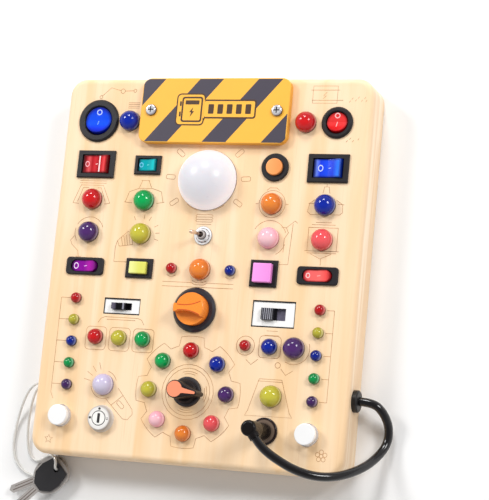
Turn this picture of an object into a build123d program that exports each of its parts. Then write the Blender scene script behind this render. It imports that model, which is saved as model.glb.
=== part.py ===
from build123d import *
import math
import os

os.makedirs("parts", exist_ok=True)

# A wooden busy board lying on its back: X to the right, Y to the board's top edge, Z out of
# the face. The origin is the middle of the back, where the board rests. Millimetres.

# ---- Wooden case ----
board_width = 245.0
board_height = 290.0
board_thickness = 32.0
corner_radius = 13.0
face_edge_radius = 4.5
back_edge_radius = 1.5
face_wall = 8.0
side_wall = 13.0
pocket_corner_radius = 7.0
lug_radius = 5.5
lug_inset = 4.0
side_lug_y = -15.5
fit_gap = 0.1          # all round a piece that is pressed or glued into the wood
seat_gap = 0.3         # all round a piece that drops in loosely

# ---- Back panel and its screws ----
panel_thickness = 3.0
panel_rim = 9.5        # wood that shows round the panel
panel_corner_radius = 9.0
back_screw_radius = 1.25
back_screw_head_radius = 2.6
back_screw_length = 10.0
back_screw_head_height = 1.5
back_slot_length, back_slot_width, back_slot_depth = 3.0, 0.6, 0.7

# ---- Hazard lid over the battery opening ----
lid_height = 50.0
lid_inset = 26.6        # its middle below the board's top edge
lid_thickness = 6.0
lid_corner_radius = 7.0
lid_screw_inset = 8.85
lid_screw_radius = 1.75
lid_screw_head_radius = 4.25
lid_screw_head_height = 2.2
lid_screw_length = 12.0
lid_screw_dome = 1.5
lid_slot_length, lid_slot_width, lid_slot_depth = 4.6, 0.9, 1.2
lid_edge = 0.5
battery_width = 52.0
battery_height = 35.0
battery_depth = 13.0
battery_wall = 1.2
battery_flange = 3.5
battery_gap = 0.9      # between the box and the pocket's top wall
battery_flange_thickness = 1.5
cell_radius = 5.2
cell_length = 44.5
cell_count = 3
cell_button_radius, cell_button_length = 1.9, 0.9

# ---- Columns and rows of controls ----
left_column_inset, right_column_inset = 30.1, 29.1
inner_left_column, inner_right_column = -49.3, 52.6
top_row_inset, bottom_row_inset = 34.0, 29.0
row_count = 9
large_round_inset, small_round_inset = 28.2, 25.4
left_cap_gap, right_cap_gap = 1.8, 4.0
left_lid_gap, right_lid_gap = 2.15, 4.45
lime_x, pink_x = -47.5, 51.4
right_oval_inset = 30.1
small_left_x, middle_cap_x, small_right_x = -21.4, 1.5, 25.2
white_cap_x, yellow_cap_x = -66.5, 65.5
white_left_inset, white_right_inset = 24.0, 27.3
left_cluster_inset, left_cluster_pitch = 45.3, 19.3
right_cluster_inset, right_cluster_pitch = 42.9, 18.65
side_inset, side_start, side_steps = 25.9, 5.468, 0.65

# ---- Indicator caps: pressed into the face, one LED behind each ----
large_cap_radius = 8.0
medium_cap_radius = 6.0
small_cap_radius = 4.1
cap_rim = 1.4
neck_share = 1.9       # how much narrower the neck is than the rim
neck_past_wall = 1.5
cap_wall = 1.1
led_flange_thickness = 1.0
led_leg_length = 5.0
led_leg_radius = 0.3
led_leg_offset = 0.9
led_lens_radius, led_lens_length = 2.5, 5.0

# ---- Big round lamp ----
lamp_x = 0.2
lamp_lid_gap = 4.2
lamp_radius = 23.0
lamp_sink = 2.0
lamp_wall = 1.6
lamp_flange = 3.0
lamp_flange_thickness = 1.5
lamp_board_thickness = 1.6
lamp_emitters = 6
emitter_size, emitter_height = 3.5, 1.2

# ---- Rocker switches ----
rocker_tilt = 8.0      # degrees either side of level
bezel_height = 2.0
bezel_edge = 0.7
pivot_depth = 1.3
pivot_pin_radius = 1.0
pivot_pin_length = 0.9
pivot_gap = 0.05
rocker_end_gap = 0.5
rocker_side_gap = 0.35
rocker_crown = 2.4     # the middle of the rocker above its pivot
rocker_belly = 2.6
rocker_floor_gap = 0.5
rocker_edge = 0.5
switch_depth = 16.0
wide_bezel_length, wide_bezel_width = 31.0, 21.2
wide_rocker_length, wide_rocker_width = 22.4, 14.0
wide_body_length, wide_body_width = 26.6, 17.0
small_bezel_length, small_bezel_width = 21.4, 14.6
small_rocker_length, small_rocker_width = 15.0, 9.4
small_body_length, small_body_width = 18.6, 12.4
oval_bezel_length, oval_bezel_width = 31.0, 13.2
oval_rocker_length, oval_rocker_width = 21.6, 8.6
oval_body_length, oval_body_width = 26.0, 11.4
oval_bezel_corner = 2.6
large_round_bezel_radius, large_round_rocker_radius = 16.6, 10.9
small_round_bezel_radius, small_round_rocker_radius = 11.9, 8.0
round_body_wall = 2.0
round_bezel_height = 2.4
blade_width, blade_thickness, blade_length = 4.8, 0.8, 6.0

# ---- Push buttons ----
button_gap = 0.25
button_travel = 2.5
button_skirt = 0.9     # the foot of a button is this much wider than its head
button_skirt_height = 1.5
button_keep = 1.2      # the foot's top lies this far below the face
button_floor_gap = 0.5
button_edge = 0.7
round_button_bezel_radius, round_button_radius = 10.5, 6.3
round_button_height = 4.2
lime_bezel_length, lime_bezel_width = 21.6, 14.8
lime_button_length, lime_button_width = 13.6, 9.0
lime_button_height = 5.0
pink_bezel_length, pink_bezel_width = 20.9, 19.8
pink_button_length, pink_button_width = 14.0, 14.0
pink_button_height = 6.0
white_ring_radius, white_ring_height = 8.3, 1.4
white_body_radius = 7.5
white_stem_radius, white_stem_length = 5.8, 9.0
white_head_radius, white_button_height = 7.7, 7.8
white_head_gap = 0.4

# ---- Toggle switch ----
toggle_x = 1.0
toggle_drop = 0.8      # below the middle of the gap between the lamp and the cap under it
toggle_washer_radius = 7.0
toggle_washer_thickness = 0.9
toggle_nut_flats = 9.0
toggle_nut_height = 2.2
toggle_bushing_radius = 3.0
toggle_bushing_height = 6.0
toggle_bore_radius = 2.0
toggle_ball_gap = 0.07
toggle_bore_depth = 10.0
toggle_pivot_height = 3.6
toggle_lever_length = 15.0
toggle_root_radius, toggle_root_length = 1.0, 3.0
toggle_tip_radius = 1.6
toggle_tilt = 13.0
toggle_body_length, toggle_body_width, toggle_body_depth = 13.2, 8.0, 10.0

# ---- Slide switches ----
slide_sink = 0.7       # plates lie this far below the face
slide_plate_thickness = 1.4
slide_frame_gap = 0.7
slide_body_depth = 9.0
slide_body_rim = 2.0
slide_body_wall = 1.6
carriage_rim = 1.2
carriage_thickness = 1.6
carriage_gap = 0.25
left_slide_x, right_slide_x = -58.6, 61.5
left_plate_length, left_plate_width = 29.0, 11.0
left_slot_length, left_slot_width = 15.6, 5.4
left_thumb_length, left_thumb_height = 11.6, 4.0
right_plate_length, right_plate_width = 32.4, 18.2
right_slot_length, right_slot_width = 18.2, 9.0
right_thumb_length, right_thumb_height = 9.2, 3.4
thumb_gap = 0.3
thumb_ribs = 5
thumb_rib_depth = 0.5
thumb_groove_width = 0.7
thumb_shoulder = 0.3
left_thumb_dip, right_thumb_dip = 1.2, 0.3

# ---- Rotary selectors ----
selector_x = 0.3
selector_ring_radius, selector_ring_height = 16.6, 3.2
selector_knob_radius, selector_knob_height = 12.0, 14.5
selector_skirt_height = 7.0
selector_bar_half = 2.3
selector_scoop_radius, selector_scoop_offset = 30.0, 4.0
selector_nose_length, selector_nose_drop = 3.2, 1.4
selector_ring_bevel = 1.6
selector_floor = 1.2   # the ring's floor above the face
selector_knob_edge = 1.4
selector_body_radius = 9.0
shaft_radius = 3.0
shaft_gap = 0.05
shaft_wall = 3.0       # left below the shaft's bore
shaft_end_gap = 1.0
ring_x = 0.9
ring_rise = 4.8        # above the middle of the gap below the big selector
ring_radius = 30.4
ring_lamps = 8
gear_base_radius, gear_base_height = 11.0, 3.0
gear_knob_height = 18.0
gear_knob_head_radius, gear_knob_tip_radius = 6.6, 1.7
gear_knob_reach = 14.0
gear_knob_skirt_radius, gear_knob_skirt_height = 8.8, 2.6
gear_knob_head_offset = 3.2
gear_knob_turn = -7.0
gear_knob_edge = 1.0
gear_body_radius = 8.0
knob_clearance = 0.4

# ---- Key lock ----
lock_x = -65.5
lock_flange_radius, lock_face_radius = 10.2, 8.9
lock_height = 5.0
lock_barrel_radius = 8.0
lock_barrel_depth = 19.0
lock_rotor_radius, lock_rotor_proud = 5.0, 0.2
lock_nut_radius, lock_nut_height = 10.5, 3.0
keyway_length, keyway_width, keyway_depth = 7.0, 1.6, 12.0
cam_length, cam_width, cam_thickness = 15.0, 7.0, 1.5

# ---- Jack, plug and patch cable ----
jack_x = 62.7
jack_flange_radius, jack_flange_height = 10.0, 1.6
jack_barrel_radius, jack_depth = 6.5, 20.0
plug_pin_radius, plug_pin_length = 1.75, 15.0
plug_pin_room = 1.0
plug_radius, plug_length = 5.7, 34.0
plug_groove_count = 5
plug_groove_depth, plug_groove_width = 0.5, 1.2
plug_groove_start, plug_groove_pitch = 5.0, 2.6
plug_end_edge = 2.2
plug_boss_radius, plug_boss_reach = 4.2, 8.0
plug_boss_drop = 5.0
plug_boss_turn = -53.0
plug_boss_lead = 7.0
cable_radius = 3.15
gland_inset, gland_z = 56.2, 16.0
gland_flange_radius, gland_proud = 8.0, 4.0
gland_neck_radius = 5.6
gland_nut_radius, gland_nut_thickness = 7.6, 3.5

# ---- Keys on their string ----
string_radius = 1.0
string_hole_radius = 3.0
string_inset, string_z = 53.0, 14.0
knot_radius, knot_thickness = 5.0, 4.0
key_head_length, key_head_width = 25.0, 22.0
key_head_thickness = 1.4
key_blade_width, key_blade_thickness = 6.2, 0.9
key_blade_length = 24.0
key_hole_radius = 2.2
key_hole_inset = 4.6
key_bed = 3.0          # the lower key lies on the string
key_x, key_y = -108.5, -156.2
lower_key_turn, upper_key_turn = 205.0, 224.0
string_tuck = 6.0      # how far the string's ends reach into the wall
string_apart = 1.5

# ---- Control board ----
control_x, control_y = -20.0, 8.0
control_length, control_width, control_thickness = 44.0, 30.0, 1.6
control_stand = 3.0
chip_size, chip_height, chip_pitch = 9.0, 1.6, 13.5
control_foot_radius, control_foot_inset = 2.0, 3.0

face_z = board_thickness
under_face = face_z - face_wall
pocket_width = board_width - 2 * side_wall
pocket_height = board_height - 2 * side_wall
panel_width = board_width - 2 * panel_rim
panel_height = board_height - 2 * panel_rim
bottom = (Align.CENTER, Align.CENTER, Align.MIN)
top = (Align.CENTER, Align.CENTER, Align.MAX)

# ---- Where the controls stand on the face: columns and rows, set from the board's edges ----
left_edge, right_edge = -board_width / 2, board_width / 2
top_edge, bottom_edge = board_height / 2, -board_height / 2
left_column = left_edge + left_column_inset
right_column = right_edge - right_column_inset
top_row = top_edge - top_row_inset
bottom_row = bottom_edge + bottom_row_inset
row_step = (top_row - bottom_row) / row_count


def row(steps):
    """A row's height on the face, counted in steps down from the top row."""
    return top_row - steps * row_step


rocker_row, upper_cap_row, lower_cap_row = row(1.356), row(2.438), row(3.449)
small_cap_row, oval_row, slide_row = row(4.449), row(4.492), row(5.652)
cluster_row, foot_cap_row = row(6.597), row(8.0)

large_round_spot = (left_edge + large_round_inset, top_row)
small_round_spot = (right_edge - small_round_inset, top_row)
left_top_cap = (large_round_spot[0] + large_round_bezel_radius + left_cap_gap + large_cap_radius, top_row)
right_top_cap = (small_round_spot[0] - small_round_bezel_radius - right_cap_gap - large_cap_radius, top_row)
lid_left = left_top_cap[0] + large_cap_radius + left_lid_gap
lid_right = right_top_cap[0] - large_cap_radius - right_lid_gap
lid_width = lid_right - lid_left
lid_x, lid_y = (lid_left + lid_right) / 2, top_edge - lid_inset
battery_y = pocket_height / 2 - battery_gap - battery_height / 2
lamp_y = lid_y - lid_height / 2 - lamp_lid_gap - lamp_radius
toggle_y = (lamp_y - lamp_radius + small_cap_row + large_cap_radius) / 2 - toggle_drop
selector_y = slide_row
ring_y = (selector_y - selector_ring_radius + bottom_edge) / 2 + ring_rise
lock_y = jack_y = bottom_row
gland_y, string_y = bottom_edge + gland_inset, bottom_edge + string_inset

wide_spots = {"wide_rocker_red": (left_column, rocker_row), "wide_rocker_blue": (right_column, rocker_row)}
small_spot = (inner_left_column, rocker_row)
round_button_spot = (inner_right_column, rocker_row)
oval_spots = {"oval_rocker_magenta": (left_column, oval_row), "oval_rocker_coral": (right_edge - right_oval_inset, oval_row)}
lime_spot = (lime_x, oval_row)
pink_spot = (pink_x, oval_row)
left_slide, right_slide = (left_slide_x, slide_row), (right_slide_x, slide_row)
white_spots = {"white_button_left": (left_edge + white_left_inset, bottom_row),
               "white_button_right": (right_edge - white_right_inset, bottom_row)}
left_cluster = [(left_edge + left_cluster_inset + n * left_cluster_pitch, cluster_row) for n in range(3)]
right_cluster = [(right_edge - right_cluster_inset - n * right_cluster_pitch, cluster_row) for n in range(3)]


def ring_spot(step):
    """Places on the ring round the gear selector, clockwise from the top."""
    turn = math.radians(90 - step * 360 / ring_lamps)
    return (ring_x + ring_radius * math.cos(turn), ring_y + ring_radius * math.sin(turn))


def side_pair(place):
    """The small caps at both sides, counted from the top."""
    y = row(side_start + place * side_steps)
    return [(left_edge + side_inset, y), (right_edge - side_inset, y)]


# Indicator caps by colour: the size, then where each one stands.
caps = {
    "red_caps": {
        large_cap_radius: [right_top_cap, (left_column, upper_cap_row)],
        medium_cap_radius: [left_cluster[0], ring_spot(0)],
        small_cap_radius: [(small_left_x, small_cap_row), right_cluster[2]] + side_pair(0),
    },
    "green_caps": {
        large_cap_radius: [(inner_left_column, upper_cap_row)],
        medium_cap_radius: [left_cluster[2], ring_spot(7)],
        small_cap_radius: side_pair(3),
    },
    "blue_caps": {
        large_cap_radius: [left_top_cap, (right_column, upper_cap_row)],
        medium_cap_radius: [right_cluster[1], ring_spot(1)],
        small_cap_radius: [(small_right_x, small_cap_row)] + side_pair(2),
    },
    "purple_caps": {
        large_cap_radius: [(left_column, lower_cap_row), right_cluster[0]],
        medium_cap_radius: [ring_spot(2)],
        small_cap_radius: side_pair(4),
    },
    "yellow_caps": {
        large_cap_radius: [(inner_left_column, lower_cap_row), (yellow_cap_x, foot_cap_row)],
        medium_cap_radius: [left_cluster[1], ring_spot(6)],
        small_cap_radius: side_pair(1),
    },
    "orange_caps": {
        large_cap_radius: [(inner_right_column, upper_cap_row), (middle_cap_x, small_cap_row)],
        medium_cap_radius: [ring_spot(4)],
    },
    "pink_caps": {
        large_cap_radius: [(inner_right_column, lower_cap_row)],
        medium_cap_radius: [ring_spot(5)],
    },
    "coral_caps": {
        large_cap_radius: [(right_column, lower_cap_row)],
        medium_cap_radius: [ring_spot(3)],
    },
    "white_cap": {large_cap_radius: [(white_cap_x, foot_cap_row)]},
}


def spots_of(radius):
    """Every cap of one size, whatever its colour."""
    return [spot for sizes in caps.values() for spot in sizes.get(radius, [])]


def at(spots, z):
    return [(x, y, z) for x, y in spots]


cap_radii = (large_cap_radius, medium_cap_radius, small_cap_radius)
body_bottom = face_z - switch_depth


def save(piece, name):
    piece.part.label = name
    export_step(piece.part, f"parts/{name}.step")


# ---- The wooden case: a block with a pocket from the back and a hole for each control ----
lug_x = pocket_width / 2 - lug_inset
lug_y = pocket_height / 2 - lug_inset
lug_spots = [(i * lug_x, j * lug_y) for i in (-1, 1) for j in (-1, 1)]
lug_spots += [(i * lug_x, side_lug_y) for i in (-1, 1)]
lid_screw_spots = [(lid_x + i * (lid_width / 2 - lid_screw_inset), lid_y) for i in (-1, 1)]

with BuildPart() as wooden_case:
    with BuildSketch():
        RectangleRounded(board_width, board_height, corner_radius)
    extrude(amount=board_thickness)
    fillet(wooden_case.faces().sort_by(Axis.Z)[-1].edges(), face_edge_radius)
    fillet(wooden_case.faces().sort_by(Axis.Z)[0].edges(), back_edge_radius)
    with BuildSketch():
        RectangleRounded(panel_width + 2 * seat_gap, panel_height + 2 * seat_gap, panel_corner_radius)
    extrude(amount=panel_thickness, mode=Mode.SUBTRACT)
    with BuildSketch(Plane.XY.offset(panel_thickness)):
        RectangleRounded(pocket_width, pocket_height, pocket_corner_radius)
        with Locations(*lug_spots):
            Circle(lug_radius, mode=Mode.SUBTRACT)
        for i in (-1, 1):
            with Locations((i * (lug_x + lug_radius), side_lug_y)):
                Rectangle(2 * lug_radius, 2 * lug_radius, mode=Mode.SUBTRACT)
            for j in (-1, 1):
                with Locations((i * (lug_x + lug_radius), j * lug_y), (i * lug_x, j * (lug_y + lug_radius))):
                    Rectangle(2 * lug_radius, 2 * lug_radius, mode=Mode.SUBTRACT)
    extrude(amount=under_face - panel_thickness, mode=Mode.SUBTRACT)
    with Locations(*at(lug_spots, panel_thickness)):
        Cylinder(back_screw_radius, back_screw_length, align=bottom, mode=Mode.SUBTRACT)
    with BuildSketch(Plane.XY.offset(under_face)):
        for cap_radius in cap_radii:
            with Locations(*spots_of(cap_radius)):
                Circle(cap_radius - neck_share + fit_gap)
        with Locations((lamp_x, lamp_y)):
            Circle(lamp_radius + fit_gap)
        with Locations(large_round_spot):
            Circle(large_round_rocker_radius + round_body_wall + fit_gap)
        with Locations(small_round_spot):
            Circle(small_round_rocker_radius + round_body_wall + fit_gap)
        with Locations(*wide_spots.values()):
            Rectangle(wide_body_length + 2 * fit_gap, wide_body_width + 2 * fit_gap)
        with Locations(small_spot, lime_spot):
            Rectangle(small_body_length + 2 * fit_gap, small_body_width + 2 * fit_gap)
        with Locations(*oval_spots.values()):
            Rectangle(oval_body_length + 2 * fit_gap, oval_body_width + 2 * fit_gap)
        with Locations(pink_spot):
            Rectangle(wide_body_width + 2 * fit_gap, wide_body_width + 2 * fit_gap)
        with Locations(round_button_spot):
            Circle(round_button_radius + round_body_wall + fit_gap)
        with Locations(*white_spots.values()):
            Circle(white_body_radius + fit_gap)
        with Locations((toggle_x, toggle_y)):
            Circle(toggle_bushing_radius + fit_gap)
        with Locations(left_slide):
            Rectangle(left_plate_length + 2 * seat_gap, left_plate_width + 2 * slide_frame_gap)
        with Locations(right_slide):
            Rectangle(right_plate_length + 2 * seat_gap, right_plate_width + 2 * slide_frame_gap)
        with Locations((selector_x, selector_y)):
            Circle(selector_body_radius + fit_gap)
        with Locations((ring_x, ring_y)):
            Circle(gear_body_radius + fit_gap)
        with Locations((lock_x, lock_y)):
            Circle(lock_barrel_radius + fit_gap)
        with Locations((jack_x, jack_y)):
            Circle(jack_barrel_radius + fit_gap)
        with Locations((lid_x, battery_y)):
            Rectangle(battery_width + 2 * seat_gap, battery_height + 2 * seat_gap)
    extrude(amount=face_wall, mode=Mode.SUBTRACT)
    with Locations(*at(lid_screw_spots, face_z)):
        Cylinder(lid_screw_radius, lid_screw_length - lid_thickness, align=top, mode=Mode.SUBTRACT)
    with Locations(Location((board_width / 2, gland_y, gland_z), (0, -90, 0))):
        Cylinder(gland_neck_radius + fit_gap, side_wall, align=bottom, mode=Mode.SUBTRACT)
    with Locations(Location((-board_width / 2, string_y, string_z), (0, 90, 0))):
        Cylinder(string_hole_radius, side_wall, align=bottom, mode=Mode.SUBTRACT)
save(wooden_case, "wooden_case")

# ---- Back panel, held by countersunk screws in the case's lugs ----
with BuildPart() as back_panel:
    with BuildSketch():
        RectangleRounded(panel_width, panel_height, panel_corner_radius - seat_gap)
    extrude(amount=panel_thickness)
    with Locations(*at(lug_spots, 0)):
        Cone(back_screw_head_radius + fit_gap, back_screw_radius + fit_gap, back_screw_head_height,
             align=bottom, mode=Mode.SUBTRACT)
        Cylinder(back_screw_radius + fit_gap, panel_thickness, align=bottom, mode=Mode.SUBTRACT)
save(back_panel, "back_panel")

with BuildPart() as back_screws:
    with Locations(*at(lug_spots, 0)):
        Cone(back_screw_head_radius, back_screw_radius, back_screw_head_height, align=bottom)
        Cylinder(back_screw_radius - fit_gap, back_screw_length, align=bottom)
        Box(back_slot_length, back_slot_width, back_slot_depth, align=bottom, mode=Mode.SUBTRACT)
        Box(back_slot_width, back_slot_length, back_slot_depth, align=bottom, mode=Mode.SUBTRACT)
save(back_screws, "back_screws")

# ---- Hazard lid with its two pan-head screws ----
with BuildPart() as hazard_lid:
    with BuildSketch(Plane.XY.offset(face_z)):
        with Locations((lid_x, lid_y)):
            RectangleRounded(lid_width, lid_height, lid_corner_radius)
    extrude(amount=lid_thickness)
    chamfer(hazard_lid.faces().sort_by(Axis.Z)[-1].edges(), lid_edge)
    with Locations(*at(lid_screw_spots, face_z)):
        Cylinder(lid_screw_radius + fit_gap, lid_thickness, align=bottom, mode=Mode.SUBTRACT)
save(hazard_lid, "hazard_lid")

with BuildPart() as lid_screws:
    with Locations(*at(lid_screw_spots, face_z + lid_thickness)):
        Cylinder(lid_screw_head_radius, lid_screw_head_height, align=bottom)
        Cylinder(lid_screw_radius - fit_gap, lid_screw_length, align=top)
    fillet(lid_screws.faces().group_by(Axis.Z)[-1].edges(), lid_screw_dome)
    with Locations(*at(lid_screw_spots, face_z + lid_thickness + lid_screw_head_height)):
        Box(lid_slot_length, lid_slot_width, lid_slot_depth, align=top, mode=Mode.SUBTRACT)
        Box(lid_slot_width, lid_slot_length, lid_slot_depth, align=top, mode=Mode.SUBTRACT)
save(lid_screws, "lid_screws")

# ---- Battery box: a tray in the opening, its flange glued under the face ----
battery_top = face_z - seat_gap

with BuildPart() as battery_box:
    with Locations((lid_x, battery_y, battery_top)):
        Box(battery_width, battery_height, battery_depth, align=top)
    with Locations((lid_x, battery_y, under_face)):
        Box(battery_width + 2 * battery_flange, battery_height, battery_flange_thickness, align=top)
    with Locations((lid_x, battery_y, battery_top)):
        Box(battery_width - 2 * battery_wall, battery_height - 2 * battery_wall,
            battery_depth - battery_wall, align=top, mode=Mode.SUBTRACT)
save(battery_box, "battery_box")

cell_pitch = (battery_height - 2 * battery_wall) / cell_count
cell_z = battery_top - battery_depth + battery_wall + cell_radius + seat_gap
with BuildPart() as batteries:
    for n in range(cell_count):
        cell_y = battery_y + (n - (cell_count - 1) / 2) * cell_pitch
        with Locations(Location((lid_x, cell_y, cell_z), (0, 90, 0))):
            Cylinder(cell_radius, cell_length)
        with Locations(Location((lid_x + cell_length / 2 * (-1) ** n, cell_y, cell_z), (0, 90 * (-1) ** n, 0))):
            Cylinder(cell_button_radius, cell_button_length, align=bottom)
save(batteries, "batteries")

# ---- Indicator caps: a hollow dome on a rim, with a neck through the wood ----
for cap_name, sizes in caps.items():
    with BuildPart() as colour_caps:
        for cap_radius, spots in sizes.items():
            neck_radius = cap_radius - neck_share
            neck_length = face_wall + neck_past_wall
            with Locations(*at(spots, face_z + cap_rim)):
                Sphere(cap_radius, arc_size1=0, arc_size2=90, align=bottom)
            with Locations(*at(spots, face_z)):
                Cylinder(cap_radius, cap_rim, align=bottom)
                Cylinder(neck_radius, neck_length, align=top)
            with Locations(*at(spots, under_face - neck_past_wall)):
                Cylinder(neck_radius - cap_wall, neck_length + cap_rim, align=bottom, mode=Mode.SUBTRACT)
    save(colour_caps, cap_name)

with BuildPart() as indicator_leds:
    for cap_radius in cap_radii:
        spots = spots_of(cap_radius)
        lens_radius = min(cap_radius - neck_share - cap_wall - fit_gap, led_lens_radius)
        flange_radius = cap_radius - neck_share
        led_z = under_face - neck_past_wall
        with Locations(*at(spots, led_z)):
            Cylinder(flange_radius, led_flange_thickness, align=top)
            Cylinder(lens_radius, led_lens_length, align=bottom)
        with Locations(*at(spots, led_z + led_lens_length)):
            Sphere(lens_radius, arc_size1=0, arc_size2=90, align=bottom)
        for side in (-1, 1):
            with Locations(*[(x + side * led_leg_offset, y, led_z - led_flange_thickness) for x, y in spots]):
                Cylinder(led_leg_radius, led_leg_length, align=top)
save(indicator_leds, "indicator_leds")

# ---- Big round lamp: a thin milky dome with a flange glued under the face ----
lamp_centre = face_z - lamp_sink
with BuildPart() as lamp_dome:
    with Locations((lamp_x, lamp_y, lamp_centre)):
        Sphere(lamp_radius, arc_size1=0, arc_size2=90, align=bottom)
    with Locations((lamp_x, lamp_y, under_face)):
        Cylinder(lamp_radius, lamp_centre - under_face, align=bottom)
        Cylinder(lamp_radius + lamp_flange, lamp_flange_thickness, align=top)
    with Locations((lamp_x, lamp_y, lamp_centre)):
        Sphere(lamp_radius - lamp_wall, arc_size1=0, arc_size2=90, align=bottom, mode=Mode.SUBTRACT)
        Cylinder(lamp_radius - lamp_wall, lamp_centre - under_face + lamp_flange_thickness,
                 align=top, mode=Mode.SUBTRACT)
save(lamp_dome, "lamp_dome")

# ---- Rocker switches ----
# A rocker's top is a shallow V. It is pressed at one end, so that half lies level.
pivot_z = face_z - pivot_depth
rocker_end = Vector(math.cos(math.radians(rocker_tilt)), 0, math.sin(math.radians(rocker_tilt)))
rocker_up = Vector(-math.sin(math.radians(rocker_tilt)), 0, math.cos(math.radians(rocker_tilt)))
turned_end = Vector(0, -rocker_end.X, rocker_end.Z)
turned_up = Vector(0, -rocker_up.X, rocker_up.Z)


def rocker_profile(length):
    """Half-lengths and heights of a rocker's side, from its pivot: a V on top, a flat belly."""
    rise = length / 2 * math.tan(math.radians(rocker_tilt))
    return [(-length / 2, -rocker_belly), (length / 2, -rocker_belly), (length / 2, rocker_crown + rise),
            (0, rocker_crown), (-length / 2, rocker_crown + rise)]


def cavity_depth(length):
    """Room below the pivot for a rocker's belly at either end of its swing."""
    return rocker_belly + length / 2 * math.sin(math.radians(rocker_tilt)) + rocker_floor_gap


def straight_rocker(spot, length, width, name):
    """A rectangular rocker with its left end down, on two stub pins across its middle."""
    pivot = (spot[0], spot[1], pivot_z)
    side = Plane(origin=pivot, x_dir=rocker_end, z_dir=(0, -1, 0))
    with BuildPart() as rocker:
        with BuildSketch(side):
            Polygon(*rocker_profile(length), align=None)
            Circle(length / 2, mode=Mode.INTERSECT)
        extrude(amount=width / 2, both=True)
        fillet(rocker.faces().filter_by(Axis.Y).edges().filter_by(GeomType.LINE).sort_by(Axis.Z)[-4:], rocker_edge)
        with BuildSketch(side):
            Circle(pivot_pin_radius)
        extrude(amount=width / 2 + pivot_pin_length, both=True)
    save(rocker, name)


def oval_rocker(spot, length, width, name):
    """A rocker with round ends, its left end down."""
    pivot = (spot[0], spot[1], pivot_z)
    side = Plane(origin=pivot, x_dir=rocker_end, z_dir=(0, -1, 0))
    tilted = Plane(origin=pivot, x_dir=rocker_end, z_dir=rocker_up)
    with BuildPart() as rocker:
        with BuildSketch(side):
            Polygon(*rocker_profile(length), align=None)
            Circle(length / 2, mode=Mode.INTERSECT)
        extrude(amount=width / 2, both=True)
        with BuildSketch(tilted):
            SlotOverall(length, width)
        extrude(amount=length, both=True, mode=Mode.INTERSECT)
        with BuildSketch(side):
            Circle(pivot_pin_radius)
        extrude(amount=width / 2 + pivot_pin_length, both=True)
    save(rocker, name)


def round_rocker(spot, radius, name):
    """A round rocker with its upper end down, cut from a ball about its pivot."""
    pivot = (spot[0], spot[1], pivot_z)
    side = Plane(origin=pivot, x_dir=turned_end, z_dir=(-1, 0, 0))
    with BuildPart() as rocker:
        with Locations(pivot):
            Sphere(radius)
        with BuildSketch(side):
            Polygon(*rocker_profile(2 * radius), align=None)
        extrude(amount=radius, both=True, mode=Mode.INTERSECT)
        with BuildSketch(side):
            Circle(pivot_pin_radius)
        extrude(amount=radius + pivot_pin_length, both=True)
    save(rocker, name)


def pin_holes(spot, span, across):
    """Cut the two blind holes that take a rocker's stub pins."""
    turn = (90, 0, 0) if across == "y" else (0, 90, 0)
    with Locations(Location((spot[0], spot[1], pivot_z), turn)):
        Cylinder(pivot_pin_radius + pivot_gap, span + 2 * (pivot_pin_length + button_gap), mode=Mode.SUBTRACT)


with BuildPart() as wide_rocker_housings:
    with Locations(*at(wide_spots.values(), face_z)):
        Box(wide_bezel_length, wide_bezel_width, bezel_height, align=bottom)
    chamfer(wide_rocker_housings.faces().filter_by(Axis.Z).group_by(Axis.Z)[-1].edges(), bezel_edge)
    with Locations(*at(wide_spots.values(), face_z)):
        Box(wide_body_length, wide_body_width, switch_depth, align=top)
    with Locations(*at(wide_spots.values(), face_z + bezel_height)):
        Box(wide_rocker_length + 2 * rocker_end_gap, wide_rocker_width + 2 * rocker_side_gap,
            face_z + bezel_height - pivot_z + cavity_depth(wide_rocker_length), align=top, mode=Mode.SUBTRACT)
    for spot in wide_spots.values():
        pin_holes(spot, wide_rocker_width, "y")
save(wide_rocker_housings, "wide_rocker_housings")

with BuildPart() as small_rocker_housing:
    with Locations((*small_spot, face_z)):
        Box(small_bezel_length, small_bezel_width, bezel_height, align=bottom)
    chamfer(small_rocker_housing.faces().sort_by(Axis.Z)[-1].edges(), bezel_edge)
    with Locations((*small_spot, face_z)):
        Box(small_body_length, small_body_width, switch_depth, align=top)
    with Locations((*small_spot, face_z + bezel_height)):
        Box(small_rocker_length + 2 * rocker_end_gap, small_rocker_width + 2 * rocker_side_gap,
            face_z + bezel_height - pivot_z + cavity_depth(small_rocker_length), align=top, mode=Mode.SUBTRACT)
    pin_holes(small_spot, small_rocker_width, "y")
save(small_rocker_housing, "small_rocker_housing")

with BuildPart() as oval_rocker_housings:
    with BuildSketch(Plane.XY.offset(face_z)):
        with Locations(*oval_spots.values()):
            RectangleRounded(oval_bezel_length, oval_bezel_width, oval_bezel_corner)
    extrude(amount=bezel_height)
    chamfer(oval_rocker_housings.faces().filter_by(Axis.Z).group_by(Axis.Z)[-1].edges(), bezel_edge)
    with Locations(*at(oval_spots.values(), face_z)):
        Box(oval_body_length, oval_body_width, switch_depth, align=top)
    with BuildSketch(Plane.XY.offset(face_z + bezel_height)):
        with Locations(*oval_spots.values()):
            SlotOverall(oval_rocker_length + 2 * rocker_end_gap + rocker_side_gap,
                        oval_rocker_width + 2 * rocker_side_gap)
    extrude(amount=pivot_z - cavity_depth(oval_rocker_length) - face_z - bezel_height, mode=Mode.SUBTRACT)
    for spot in oval_spots.values():
        pin_holes(spot, oval_rocker_width, "y")
save(oval_rocker_housings, "oval_rocker_housings")

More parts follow.
